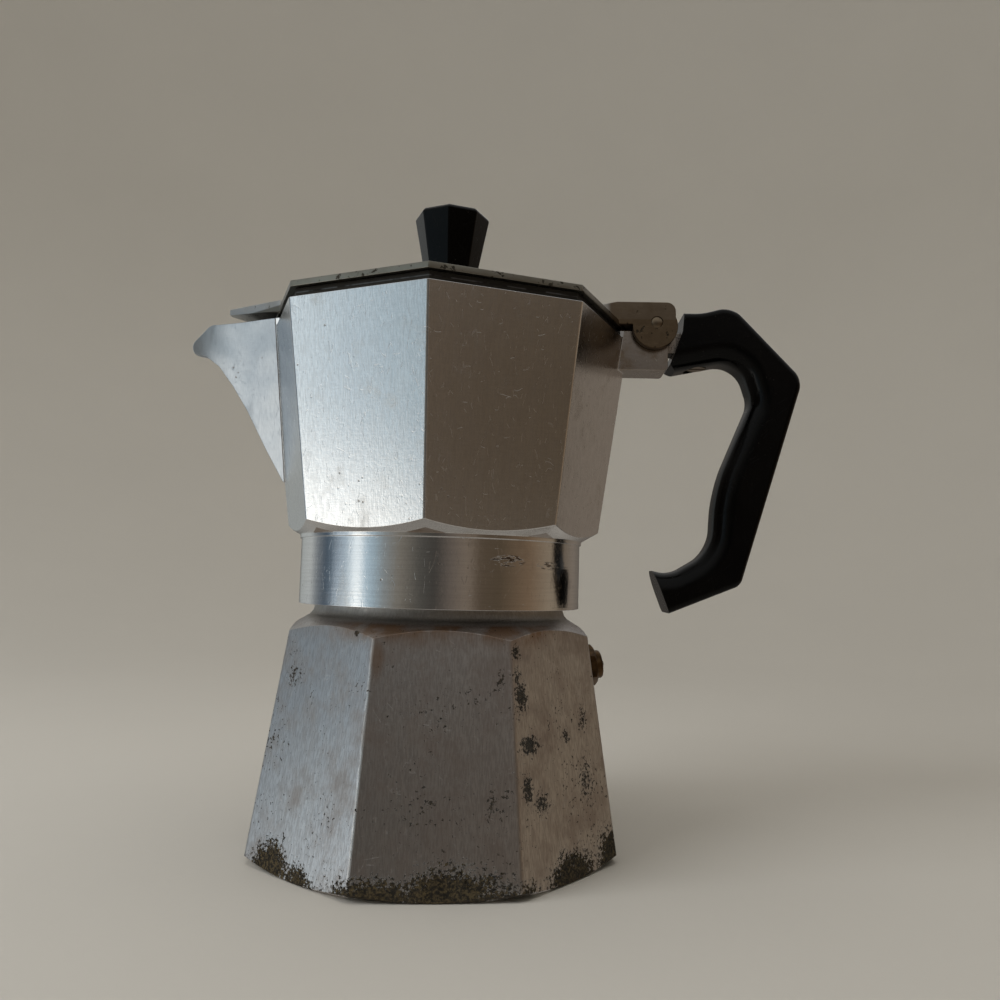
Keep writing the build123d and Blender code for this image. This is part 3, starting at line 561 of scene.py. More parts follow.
@dataclass(frozen=True)
class BoilerAluminium:
    """Dull aluminium with brushed sides, pits and a burnt band round the foot."""

    floor_level: float = 3.0
    bore: float = 35.4

    @staticmethod
    def _area(graph: Graph, stains: tuple[Stain, ...]) -> Wire:
        """All patches of one kind together, the strongest of them where they meet.

        Args:
            graph: The finish's node graph.
            stains: The patches.

        Returns:
            The mask.
        """
        area = graph.patch(stains[0].centre, stains[0].reach) * stains[0].strength
        for stain in stains[1:]:
            area = area.most(graph.patch(stain.centre, stain.reach) * stain.strength)
        return area

    def _pits(self, graph: Graph) -> Wire:
        """Small ragged dark pits, crowded at the middle of each patch.

        Args:
            graph: The finish's node graph.

        Returns:
            The mask.
        """
        ragged = graph.noise(0.75, 6.0, shift=(0.7, 0.3, 0.5), roughness=0.72)
        near = (self._area(graph, PIT_PATCHES) * 0.27 + ragged).rising(0.64, 0.73)
        stray = graph.noise(0.9, 4.0, shift=(0.4, 0.1, 0.8), roughness=0.6)
        gathered = graph.noise(14.0, 2.0, shift=(0.2, 0.6, 0.4))
        return near.most((stray + gathered * 0.45).rising(0.885, 0.95) * 0.85)

    def _burnt(self, graph: Graph) -> Wire:
        """The dark crust round the foot, which breaks up into specks at its upper edge.

        Args:
            graph: The finish's node graph.

        Returns:
            The mask.
        """
        low = graph.axes["Z"].rising(10.0 * MM, -1.0 * MM)
        ragged = graph.noise(0.8, 6.0, shift=(0.1, 0.6, 0.2), roughness=0.75)
        coarse = graph.noise(4.0, 2.0, shift=(0.6, 0.6, 0.6))
        depth = self._area(graph, BURNT_PATCHES) * 0.44 + low * 0.16 + coarse * 0.30
        return (depth + ragged * 1.3).rising(1.02, 1.14)

    @staticmethod
    def _rust(graph: Graph) -> Wire:
        """A thin brown bloom on the shoulder and down from it.

        Args:
            graph: The finish's node graph.

        Returns:
            The mask.
        """
        height = graph.axes["Z"]
        front = graph.patch((8.0, -34.0, 57.0), (34.0, 22.0, 14.0)).rising(0.0, 0.35).most(0.25)
        shoulder = height.rising(50.5 * MM, 56.5 * MM) * height.rising(63.0 * MM, 60.5 * MM) * front
        cloudy = graph.noise(7.0, 4.0, shift=(0.9, 0.9, 0.2)).rising(0.34, 0.60)
        streak = graph.patch((-9.6, -38.8, 50.0), (2.6, 2.6, 8.0)).rising(0.1, 0.8) * 0.7
        bloom = graph.patch((-8.0, -35.0, 56.0), (11.0, 8.0, 4.0)).rising(0.05, 0.7) * cloudy
        return (shoulder * (0.35 + cloudy * 0.65)).most(streak).most(bloom)

    def material(self) -> bpy.types.Material:
        """Builds the finish's nodes.

        Returns:
            The material.
        """
        graph = Graph("boiler_aluminium")
        height = graph.axes["Z"]
        inside = graph.radius().rising(self.bore * MM, (self.bore - 1.5) * MM) * height.rising(
            self.floor_level * MM, (self.floor_level + 0.4) * MM)
        outside = 1 - inside
        pits = self._pits(graph) * outside
        burnt = self._burnt(graph) * outside
        grain = graph.noise(0.32, 3.0, VERTICAL_GRAIN)
        streaks = graph.noise(1.5, 3.0, VERTICAL_GRAIN, (0.3, 0.0, 0.0))
        colour = graph.mix(graph.noise(20.0, 5.0), (0.58, 0.575, 0.58), (0.70, 0.69, 0.67))
        colour = graph.mix(grain.rising(0.38, 0.62) * 0.5, colour, (0.33, 0.31, 0.30))
        colour = graph.mix(streaks.rising(0.40, 0.75) * 0.25, colour, (0.46, 0.42, 0.39))
        film = graph.noise(9.0, 6.0, shift=(0.5, 0.2, 0.9), roughness=0.65).rising(0.42, 0.70)
        colour = graph.mix(film * 0.5 * outside, colour, (0.31, 0.24, 0.20))
        rust = self._rust(graph) * outside
        colour = graph.mix(rust * 0.85, colour, (0.27, 0.145, 0.065))
        soot = graph.noise(0.6, 5.0, shift=(0.9, 0.2, 0.1), roughness=0.7)
        dark = graph.mix(soot.rising(0.40, 0.65), (0.004, 0.003, 0.001), (0.034, 0.024, 0.010))
        colour = graph.mix(pits.rising(0.0, 0.5) * 0.93, colour, dark)
        crust = graph.mix(soot.rising(0.42, 0.66), (0.005, 0.004, 0.002), (0.095, 0.070, 0.033))
        colour = graph.mix(burnt.rising(0.0, 0.5) * 0.97, colour, crust)
        limescale = graph.noise(12.0, 6.0, shift=(0.4, 0.4, 0.9)).rising(0.35, 0.75)
        colour = graph.mix(inside * (0.25 + limescale * 0.5), colour, (0.50, 0.46, 0.40))
        scratches = scratches_of(graph, BOILER_SCRATCHES) * outside
        dirt = pits.most(burnt)
        roughness = 0.235 + grain * 0.15 + streaks * 0.07 + film * 0.10 + inside * 0.15
        roughness = (roughness + rust * 0.10 + dirt * 0.45 + scratches * 0.08).least(0.95)
        normal = graph.relief(graph.noise(1.3, 3.0, shift=(0.2, 0.5, 0.3)), 0.026)
        normal = graph.relief(grain, 0.017, normal)
        normal = graph.relief(1 - scratches, 0.012, normal)
        normal = graph.relief(1 - pits, 0.02, normal)
        normal = graph.relief(burnt * soot, 0.05, normal)
        return graph.finish(Base_Color=colour, Roughness=roughness, Metallic=1 - dirt.rising(0.45, 0.95) * 0.95,
                            Specular_IOR_Level=0.10, Normal=normal)


@dataclass(frozen=True)
class LidAluminium:
    """Tarnished lid aluminium with nicks along its rim and brown, handled ears."""

    ears_from: float = 42.0
    rim_top: float = 136.7

    def material(self) -> bpy.types.Material:
        """Builds the finish's nodes.

        Returns:
            The material.
        """
        graph = Graph("lid_aluminium")
        clouds = graph.noise(14.0, 5.0)
        colour = graph.mix(clouds, (0.56, 0.55, 0.52), (0.70, 0.69, 0.66))
        rim = graph.axes["Z"].rising((self.rim_top + 0.3) * MM, (self.rim_top - 0.1) * MM)
        tarnish = graph.noise(9.0, 5.0, shift=(0.3, 0.2, 0.6)).rising(0.42, 0.74)
        colour = graph.mix(tarnish * 0.4, colour, (0.26, 0.22, 0.165))
        colour = graph.mix(rim * 0.74, colour, (0.125, 0.110, 0.070))
        ears = graph.axes["X"].rising(self.ears_from * MM, (self.ears_from + 1.5) * MM)
        brown = graph.mix(graph.noise(2.2, 4.0), (0.125, 0.080, 0.042), (0.215, 0.155, 0.095))
        colour = graph.mix(ears * 0.9, colour, brown)
        nicks = graph.noise(1.3, 4.0, shift=(0.2, 0.0, 0.1), roughness=0.6)
        gathered = graph.noise(8.0, 2.0, shift=(0.2, 0.9, 0.4))
        nicks = (nicks + gathered * 0.5 - (1 - rim) * 0.06).rising(0.86, 0.94)
        colour = graph.mix(nicks.rising(0.0, 0.5) * 0.9, colour, (0.018, 0.014, 0.008))
        grain = graph.noise(0.6, 3.0, shift=(0.1, 0.1, 0.1))
        scratches = scratches_of(graph, (
            ScratchSet(3.0, (0.0, 90.0, 20.0), (0.3, 0.3, 0.2)), ScratchSet(3.0, (0.0, 90.0, 75.0), (0.8, 0.1, 0.2))))
        normal = graph.relief(graph.noise(1.3, 3.0), 0.03)
        normal = graph.relief(grain, 0.012, normal)
        normal = graph.relief(1 - nicks.most(scratches * 0.4), 0.06, normal)
        roughness = 0.28 + tarnish * 0.14 + grain * 0.08 + ears * 0.08 + nicks * 0.2
        return graph.finish(Base_Color=colour, Roughness=roughness, Metallic=1 - nicks.rising(0.5, 1.0) * 0.8,
                            Specular_IOR_Level=0.2, Normal=normal)


@dataclass(frozen=True)
class Bakelite:
    """Glossy black moulded plastic with dust, scratches and a slight orange peel."""

    def material(self) -> bpy.types.Material:
        """Builds the finish's nodes.

        Returns:
            The material.
        """
        graph = Graph("black_bakelite")
        clouds = graph.noise(12.0, 5.0)
        colour = graph.mix(clouds.rising(0.3, 0.7), (0.0005, 0.0005, 0.0006), (0.0014, 0.0013, 0.0012))
        dust = graph.cells(1.7, shift=(0.1, 0.2, 0.3)).rising(0.10, 0.04)
        dust = dust * graph.noise(9.0, 3.0, shift=(0.8, 0.1, 0.2)).rising(0.50, 0.62)
        colour = graph.mix(dust * 0.25, colour, (0.08, 0.07, 0.06))
        scratches = scratches_of(graph, (
            ScratchSet(3.0, (5.0, 25.0, 0.0), (0.2, 0.7, 0.1)), ScratchSet(3.4, (0.0, -50.0, 0.0), (0.5, 0.7, 0.1))))
        roughness = 0.13 + clouds * 0.10 + dust * 0.35 + scratches * 0.18
        normal = graph.relief(graph.noise(1.6, 3.0, shift=(0.4, 0.1, 0.2)), 0.020)
        normal = graph.relief(1 - scratches, 0.012, normal)
        return graph.finish(Base_Color=colour, Roughness=roughness, Metallic=0.0, Specular_IOR_Level=0.14,
                            Normal=normal)


@dataclass(frozen=True)
class PlainMetal:
    """A small part's metal: brass, steel or spun sheet, with tarnish, grain and pits."""

    name: str
    light: Colour
    dark: Colour
    tarnish: Colour
    roughness: float
    tarnished: float
    grain: Point3 = (1.0, 1.0, 1.0)

    def material(self) -> bpy.types.Material:
        """Builds the finish's nodes.

        Returns:
            The material.
        """
        graph = Graph(self.name)
        clouds = graph.noise(5.0, 5.0)
        colour = graph.mix(clouds, self.dark, self.light)
        spots = graph.noise(2.4, 5.0, shift=(0.5, 0.1, 0.7)).rising(0.62 - self.tarnished * 0.4, 0.78)
        colour = graph.mix(spots * (0.4 + 0.6 * self.tarnished), colour, self.tarnish)
        grain = graph.noise(0.4, 3.0, self.grain, (0.2, 0.3, 0.1))
        pits = graph.cells(1.2, shift=(0.6, 0.2, 0.1)).rising(0.16, 0.06)
        normal = graph.relief(grain, 0.012)
        normal = graph.relief(1 - pits * spots, 0.05, normal)
        roughness = self.roughness + grain * 0.12 + spots * 0.15
        return graph.finish(Base_Color=colour, Roughness=roughness, Metallic=1.0, Normal=normal)


@dataclass(frozen=True)
class SealRubber:
    """Off-white sealing rubber, browned by coffee."""

    def material(self) -> bpy.types.Material:
        """Builds the finish's nodes.

        Returns:
            The material.
        """
        graph = Graph("seal_rubber")
        colour = graph.mix(graph.noise(8.0, 5.0).rising(0.3, 0.7), (0.60, 0.55, 0.46), (0.42, 0.33, 0.23))
        fine = graph.noise(0.5, 3.0, shift=(0.2, 0.2, 0.2))
        return graph.finish(Base_Color=colour, Roughness=0.55 + fine * 0.2, Metallic=0.0,
                            Normal=graph.relief(fine, 0.02))


BRASS = PlainMetal("valve_brass", (0.17, 0.100, 0.045), (0.08, 0.045, 0.020), (0.030, 0.020, 0.012), 0.30, 0.7)
STEEL = PlainMetal("steel", (0.27, 0.215, 0.155), (0.16, 0.118, 0.075), (0.07, 0.045, 0.025), 0.30, 0.5)
SHEET = PlainMetal("sheet_aluminium", (0.78, 0.78, 0.78), (0.66, 0.65, 0.63), (0.40, 0.33, 0.25), 0.26, 0.15,
                   (1.0, 1.0, 0.06))


class Slot(Enum):
    """The record's material slots, each with the finish that it takes here."""

    COLLECTOR = "cast_aluminium"
    BOILER = "boiler_aluminium"
    LID = "lid_aluminium"
    SHEET = "sheet_aluminium"
    BAKELITE = "black_bakelite"
    RUBBER = "seal_rubber"
    BRASS = "valve_brass"
    STEEL = "steel"


class Paint:
    """Makes each finish once and hands it out by slot."""

    def __init__(self) -> None:
        """Makes the eight materials."""
        self.materials = {
            Slot.COLLECTOR: CollectorAluminium().material(),
            Slot.BOILER: BoilerAluminium().material(),
            Slot.LID: LidAluminium().material(),
            Slot.SHEET: SHEET.material(),
            Slot.BAKELITE: Bakelite().material(),
            Slot.RUBBER: SealRubber().material(),
            Slot.BRASS: BRASS.material(),
            Slot.STEEL: STEEL.material(),
        }

    def dress_node(self, node: str, slot: Slot) -> None:
        """Gives a CAD node its finish.

        Args:
            node: The node's name.
            slot: The slot that it takes its finish from.
        """
        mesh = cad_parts[node].data
        mesh.materials.clear()
        mesh.materials.append(self.materials[slot])
        LOG.info("dressed %s with %s", node, slot.value)


# ---------------------------------------------------------------------------------------------------
# Solid shapes, in millimetres until they become pieces
# ---------------------------------------------------------------------------------------------------

class Solid:
    """A closed shape in millimetres, held as a bmesh."""

    def __init__(self, mesh: bmesh.types.BMesh) -> None:
        """Holds the mesh.

        Args:
            mesh: The closed mesh, in millimetres.
        """
        self.mesh = mesh

    @classmethod
    def turned(cls, profile: list[Point2], steps: int = FINE_STEPS) -> "Solid":
        """A solid of revolution about +Z.

        Args:
            profile: (radius, z) points of a closed outline, or one that ends on the axis.
            steps: Number of steps round the circle.

        Returns:
            The solid.
        """
        mesh = bmesh.new()
        points = [mesh.verts.new((radius, 0.0, z)) for radius, z in profile]
        edges = [mesh.edges.new(pair) for pair in zip(points, points[1:])]
        if profile[0][0] > 0 or profile[-1][0] > 0:
            edges.append(mesh.edges.new((points[-1], points[0])))
        bmesh.ops.spin(mesh, geom=points + edges, cent=(0, 0, 0), axis=(0, 0, 1), dvec=(0, 0, 0),
                       angle=2 * math.pi, steps=steps, use_merge=True, use_duplicate=False)
        bmesh.ops.remove_doubles(mesh, verts=mesh.verts, dist=1e-4)
        bmesh.ops.recalc_face_normals(mesh, faces=mesh.faces)
        return cls(mesh)

    @classmethod
    def prism(cls, low: Point2, high: Point2, clock: float = 0.0, sides: int = SIDES,
              edge: float = 0.0) -> "Solid":
        """A straight or tapered prism about +Z.

        Args:
            low: Corner radius and z of its foot.
            high: Corner radius and z of its top.
            clock: Angle of a corner about +Z, in degrees.
            sides: Number of sides.
            edge: How far its side edges are rounded.

        Returns:
            The solid.
        """
        mesh = bmesh.new()
        lift = Matrix.Translation((0, 0, (low[1] + high[1]) / 2))
        turn = Matrix.Rotation(math.radians(clock - 90), 4, "Z")
        bmesh.ops.create_cone(mesh, cap_ends=True, segments=sides, radius1=low[0], radius2=high[0],
                              depth=high[1] - low[1], matrix=lift @ turn)
        if edge:
            rising = [item for item in mesh.edges if abs(item.verts[0].co.z - item.verts[1].co.z) > 0.1]
            bmesh.ops.bevel(mesh, geom=rising, offset=edge, offset_type="OFFSET", segments=4, profile=0.5,
                            affect="EDGES", material=-1)
        return cls(mesh)

    @classmethod
    def slab(cls, outline: list[Point2], half_width: float, bends: dict[int, float] | None = None,
             bend_steps: int = 6) -> "Solid":
        """A slab with an (x, z) outline, spread evenly to both sides of the X-Z plane.

        Args:
            outline: Corner points.
            half_width: Half of its thickness along Y.
            bends: Radius by which a corner is rounded, by the corner's index.
            bend_steps: Number of steps in a rounded corner.

        Returns:
            The solid.
        """
        mesh = bmesh.new()
        corners = [mesh.verts.new((x, -half_width, z)) for x, z in outline]
        mesh.faces.new(corners)
        for index, radius in (bends or {}).items():
            here = Vector(outline[index])
            ahead = Vector(outline[(index + 1) % len(outline)]) - here
            behind = Vector(outline[index - 1]) - here
            run = radius / math.tan(ahead.angle(behind) / 2)
            bmesh.ops.bevel(mesh, geom=[corners[index]], offset=run, offset_type="OFFSET", segments=bend_steps,
                            profile=0.5, affect="VERTICES", material=-1)
        spread = bmesh.ops.extrude_face_region(mesh, geom=mesh.faces[:])
        moved = [item for item in spread["geom"] if isinstance(item, bmesh.types.BMVert)]
        bmesh.ops.translate(mesh, verts=moved, vec=(0, 2 * half_width, 0))
        bmesh.ops.recalc_face_normals(mesh, faces=mesh.faces)
        return cls(mesh)

    @classmethod
    def plate(cls, outline: list[Point2], low_z: float, high_z: float) -> "Solid":
        """A plate with an (x, y) outline between two heights.

        Args:
            outline: Its (x, y) corners.
            low_z: Height of its underside.
            high_z: Height of its top.

        Returns:
            The plate.
        """
        mesh = bmesh.new()
        mesh.faces.new([mesh.verts.new((x, y, low_z)) for x, y in outline])
        spread = bmesh.ops.extrude_face_region(mesh, geom=mesh.faces[:])
        moved = [item for item in spread["geom"] if isinstance(item, bmesh.types.BMVert)]
        bmesh.ops.translate(mesh, verts=moved, vec=(0, 0, high_z - low_z))
        bmesh.ops.recalc_face_normals(mesh, faces=mesh.faces)
        return cls(mesh)

    @classmethod
    def rod(cls, radius: float, start: Point3, end: Point3, steps: int = 48) -> "Solid":
        """A round rod between two points.

        Args:
            radius: Its radius.
            start: Middle of one end.
            end: Middle of the other end.
            steps: Number of sides.

        Returns:
            The solid.
        """
        mesh = bmesh.new()
        along = Vector(end) - Vector(start)
        turn = along.to_track_quat("Z", "Y").to_matrix().to_4x4()
        place = Matrix.Translation((Vector(start) + Vector(end)) / 2) @ turn
        bmesh.ops.create_cone(mesh, cap_ends=True, segments=steps, radius1=radius, radius2=radius,
                              depth=along.length, matrix=place)
        return cls(mesh)

    @classmethod
    def helix(cls, profile: list[Point2], pitch: float, turns: float, steps_per_turn: int = 96) -> "Solid":
        """A ridge swept up a right-handed helix about +Z.

        Args:
            profile: (radius, z) corners of the ridge where it starts.
            pitch: Rise per turn.
            turns: Number of turns.
            steps_per_turn: Number of steps in a turn.

        Returns:
            The solid, closed at both ends.
        """
        mesh = bmesh.new()
        face = mesh.faces.new([mesh.verts.new((radius, 0.0, z)) for radius, z in profile])
        steps = round(turns * steps_per_turn)
        bmesh.ops.spin(mesh, geom=[face], cent=(0, 0, 0), axis=(0, 0, 1), dvec=(0, 0, pitch / steps_per_turn),
                       angle=2 * math.pi * turns, steps=steps, use_merge=False, use_duplicate=False)
        bmesh.ops.recalc_face_normals(mesh, faces=mesh.faces)
        return cls(mesh)

    def placed(self, matrix: Matrix) -> "Solid":
        """The shape moved by a matrix."""
        bmesh.ops.transform(self.mesh, matrix=matrix, verts=self.mesh.verts)
        return self

    def _temporary(self) -> bpy.types.Object:
        """A short-lived object that holds the shape.

        Returns:
            The object.
        """
        mesh = bpy.data.meshes.new("temporary")
        self.mesh.to_mesh(mesh)
        self.mesh.free()
        item = bpy.data.objects.new("temporary", mesh)
        bpy.context.scene.collection.objects.link(item)
        return item

    def _combined(self, other: "Solid", operation: str) -> "Solid":
        """This shape combined with another.

        Args:
            other: The other shape, which is used up.
            operation: UNION, DIFFERENCE or INTERSECT.

        Returns:
            The result.
        """
        base = self._temporary()
        tool = other._temporary()
        modifier = base.modifiers.new("combine", "BOOLEAN")
        modifier.operation = operation
        modifier.solver = "EXACT"
        modifier.object = tool
        bpy.context.view_layer.update()
        evaluated = base.evaluated_get(bpy.context.evaluated_depsgraph_get())
        result = bmesh.new()
        result.from_mesh(evaluated.data)
        for item in (base, tool):
            mesh = item.data
            bpy.data.objects.remove(item)
            bpy.data.meshes.remove(mesh)
        return Solid(result)

    def __add__(self, other: "Solid") -> "Solid":
        """Both shapes as one."""
        return self._combined(other, "UNION")

    def __sub__(self, other: "Solid") -> "Solid":
        """This shape with the other cut away."""
        return self._combined(other, "DIFFERENCE")

    def __and__(self, other: "Solid") -> "Solid":
        """What the two shapes share."""
        return self._combined(other, "INTERSECT")

    def cleaned(self, merge: float) -> "Solid":
        """The shape with points closer than merge joined, and flat neighbours joined.

        Args:
            merge: Distance at which points are joined.

        Returns:
            The same shape, cleaned.
        """
        bmesh.ops.remove_doubles(self.mesh, verts=self.mesh.verts, dist=merge)
        bmesh.ops.dissolve_degenerate(self.mesh, edges=self.mesh.edges, dist=1e-3)
        bmesh.ops.dissolve_limit(self.mesh, angle_limit=math.radians(0.6), use_dissolve_boundaries=False,
                                 verts=self.mesh.verts, edges=self.mesh.edges)
        return self

    def rounded(self, width: float, steps: int = 2, sharp: float = SHARP, merge: float = 0.002) -> "Solid":
        """The shape with its sharp edges rounded.

        Args:
            width: How far the rounding reaches from an edge.
            steps: Number of steps in a rounding.
            sharp: The least angle between faces that counts as sharp.
            merge: Distance at which points are merged first.

        Returns:
            The same shape, rounded.
        """
        self.cleaned(merge)
        edges = [edge for edge in self.mesh.edges if edge.is_manifold and edge.calc_face_angle(0.0) > sharp]
        bmesh.ops.bevel(self.mesh, geom=edges, offset=width, offset_type="OFFSET", segments=steps, profile=0.5,
                        affect="EDGES", material=-1, clamp_overlap=merge < 0.01)
        return self

    def piece(self, name: str, body: str, slot: Slot, paint: Paint, replaces: tuple[str, ...] = ()) -> None:
        """Makes the shape a finished piece of the pot.

        Args:
            name: The piece's name.
            body: The CAD body that it moves with.
            slot: The material slot that it takes its finish from.
            paint: The finishes.
            replaces: CAD nodes that it stands for.
        """
        bmesh.ops.scale(self.mesh, vec=(MM, MM, MM), verts=self.mesh.verts)
        for face in self.mesh.faces:
            face.smooth = True
        mesh = bpy.data.meshes.new(name)
        self.mesh.to_mesh(mesh)
        self.mesh.free()
        mesh.set_sharp_from_angle(angle=math.radians(38))
        mesh.materials.append(paint.materials[slot])
        item = bpy.data.objects.new(name, mesh)
        bpy.context.scene.collection.objects.link(item)
        weighted = item.modifiers.new("shading", "WEIGHTED_NORMAL")
        weighted.keep_sharp = True
        weighted.weight = 100
        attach(item, body)
        if replaces:
            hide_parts(*replaces)
        LOG.info("made %s: %d faces", name, len(mesh.polygons))


# ---------------------------------------------------------------------------------------------------
# Sub-assemblies
# ---------------------------------------------------------------------------------------------------

@dataclass
class ScrewThread:
    """The right-handed thread that joins boiler and collector."""

    pitch: float = 3.5
    depth: float = 0.8
    crest: float = 1.0
    root: float = 2.4
    start_z: float = 62.6
    turns: float = 2.6
    buried: float = 0.3

    def ridge(self, root_radius: float, direction: int, start_z: float) -> Solid:
        """The thread's ridge.

        Args:
            root_radius: Radius that the ridge stands on.
            direction: +1 for a ridge that stands outwards and -1 for one that stands inwards.
            start_z: Height of its middle where it starts.

        Returns:
            The helical ridge, whose foot is buried in the wall.
        """
        buried_radius = root_radius - direction * self.buried
        crest_radius = root_radius + direction * self.depth
        return Solid.helix([
            (buried_radius, start_z - self.root / 2), (crest_radius, start_z - self.crest / 2),
            (crest_radius, start_z + self.crest / 2), (buried_radius, start_z + self.root / 2),
        ], self.pitch, self.turns)


@dataclass
class Boiler:
    """The octagonal water tank with its turned foot, shoulder and threaded neck."""

    clock: float = 29.5
    base_radius: float = 48.3
    shoulder_radius: float = 39.9
    shoulder_z: float = 54.15
    foot_radius: float = 44.1
    foot_slope: float = 0.52
    shoulder_slope: float = 0.6
    shoulder_inner: float = 33.6
    neck_radius: float = 32.3
    neck_foot_z: float = 60.4
    flare_z: float = 58.9
    neck_top_z: float = 73.0
    bore_radius: float = 29.3
    bore_foot_z: float = 57.5
    floor: float = 3.2
    tank_foot: float = 41.6
    tank_top: Point2 = (34.2, 52.0)
    tank_bevel: Point2 = (1.2, 1.4)
    neck_flare: float = 0.5
    edge: float = 0.55

    def corner_radius(self, z: float) -> float:
        """Corner radius of the tapered side at height z."""
        return self.base_radius - (self.base_radius - self.shoulder_radius) / self.shoulder_z * z

    def build(self, paint: Paint, thread: ScrewThread) -> None:
        """Makes the boiler and its thread.

        Args:
            paint: The finishes.
            thread: The screw thread.
        """
        far = self.base_radius + 2
        top = (self.corner_radius(self.neck_foot_z), self.neck_foot_z)
        tank = Solid.prism((self.base_radius, 0), top, self.clock, edge=self.edge)
        tank &= Solid.turned([
            (0, 0), (self.foot_radius, 0), (far, self.foot_slope * (far - self.foot_radius)),
            (far, self.shoulder_z - self.shoulder_slope * (far - self.shoulder_radius)),
            (self.shoulder_inner, self.shoulder_z + self.shoulder_slope * (self.shoulder_radius - self.shoulder_inner)),
            (self.neck_radius + self.neck_flare, self.flare_z), (self.neck_radius, self.neck_foot_z),
            (0, self.neck_foot_z),
        ])
        tank += Solid.turned([
            (0, self.flare_z), (self.neck_radius, self.flare_z), (self.neck_radius, self.neck_top_z),
            (0, self.neck_top_z),
        ])
        valve = SafetyValve()
        tank += valve.along(*valve.boss)
        tank -= Solid.turned([
            (0, self.floor), (self.tank_foot - self.tank_bevel[0], self.floor),
            (self.tank_foot, self.floor + self.tank_bevel[1]), self.tank_top,
            (self.bore_radius, self.bore_foot_z), (self.bore_radius, self.neck_top_z + 1), (0, self.neck_top_z + 1),
        ])
        tank -= valve.along(*valve.hole)
        tank.rounded(0.08, 2, merge=0.1).piece("boiler_shell", "boiler", Slot.BOILER, paint, ("boiler",))
        ridge = thread.ridge(self.neck_radius, 1, thread.start_z)
        ridge.piece("neck_thread", "boiler", Slot.BOILER, paint)


@dataclass
class SafetyValve:
    """The brass safety valve on the boiler's side, measured out along its own axis."""

    azimuth: float = 7.0
    z: float = 45.4
    hexagon: float = 9.5
    washer: float = 0.8
    hexagon_top: float = 3.7
    nose_radius: float = 3.7
    nose_top: float = 5.4
    bore_radius: float = 2.2
    bore_span: Point2 = (-5.0, 6.5)
    inlet_radius: float = 1.1
    inlet_span: Point2 = (-7.5, -4.5)
    shank: Point2 = (3.97, 6.4)
    boss: Point3 = (7.0, -5.0, -1.0)
    hole: Point3 = (4.0, -8.0, 2.0)

    def place(self) -> Matrix:
        """The matrix from the valve's own frame, whose +Z points out of the boiler, to the pot's.

        Returns:
            The matrix.
        """
        boiler = Boiler()
        taper = (boiler.base_radius - boiler.shoulder_radius) / boiler.shoulder_z * SIDE_SHARE
        angle = math.radians(self.azimuth)
        across = Vector((math.cos(angle), math.sin(angle), 0))
        outwards = (across + Vector((0, 0, taper))).normalized()
        sideways = Vector((-across.y, across.x, 0))
        upwards = outwards.cross(sideways)
        turn = Matrix((sideways, upwards, outwards)).transposed().to_4x4()
        return Matrix.Translation(across * boiler.corner_radius(self.z) * SIDE_SHARE + Vector((0, 0, self.z))) @ turn

    def along(self, radius: float, low: float, high: float) -> Solid:
        """A cylinder on the valve's axis between two distances out from the boiler's side."""
        return Solid.turned([(0, low), (radius, low), (radius, high), (0, high)], 64).placed(self.place())

    def build(self, paint: Paint) -> None:
        """Makes the valve's hexagonal plug and dresses its small parts.

        Args:
            paint: The finishes.
        """
        corner = self.hexagon / 2 / math.cos(math.radians(30))
        plug = Solid.prism((corner, self.washer), (corner, self.hexagon_top), 30, 6)
        plug &= Solid.turned([
            (0, self.washer), (corner + 0.2, self.washer), (corner + 0.2, self.hexagon_top - 0.75),
            (self.hexagon / 2 - 0.2, self.hexagon_top), (0, self.hexagon_top),
        ], 72)
        plug += Solid.turned([
            (0, -self.shank[1]), (self.shank[0] - 0.3, -self.shank[1]), (self.shank[0], -self.shank[1] + 0.3),
            (self.shank[0], self.washer + 0.1), (0, self.washer + 0.1),
        ], 72)
        plug += Solid.turned([
            (0, self.hexagon_top - 0.1), (self.nose_radius, self.hexagon_top - 0.1),
            (self.nose_radius, self.nose_top - 0.7), (self.nose_radius - 0.25, self.nose_top - 0.2),
            (self.nose_radius - 0.7, self.nose_top), (0, self.nose_top),
        ], 72)
        for radius, (low, high), steps in ((self.bore_radius, self.bore_span, 48),
                                           (self.inlet_radius, self.inlet_span, 32)):
            plug -= Solid.turned([(0, low), (radius, low), (radius, high), (0, high)], steps)
        plug.rounded(0.16).placed(self.place()).piece("valve_plug", "boiler", Slot.BRASS, paint, ("valve_body",))
        for node, slot in (("valve_washer", Slot.SHEET), ("valve_cap", Slot.BRASS), ("valve_spring", Slot.STEEL),
                           ("valve_piston", Slot.BRASS), ("valve_seal", Slot.RUBBER)):
            paint.dress_node(node, slot)


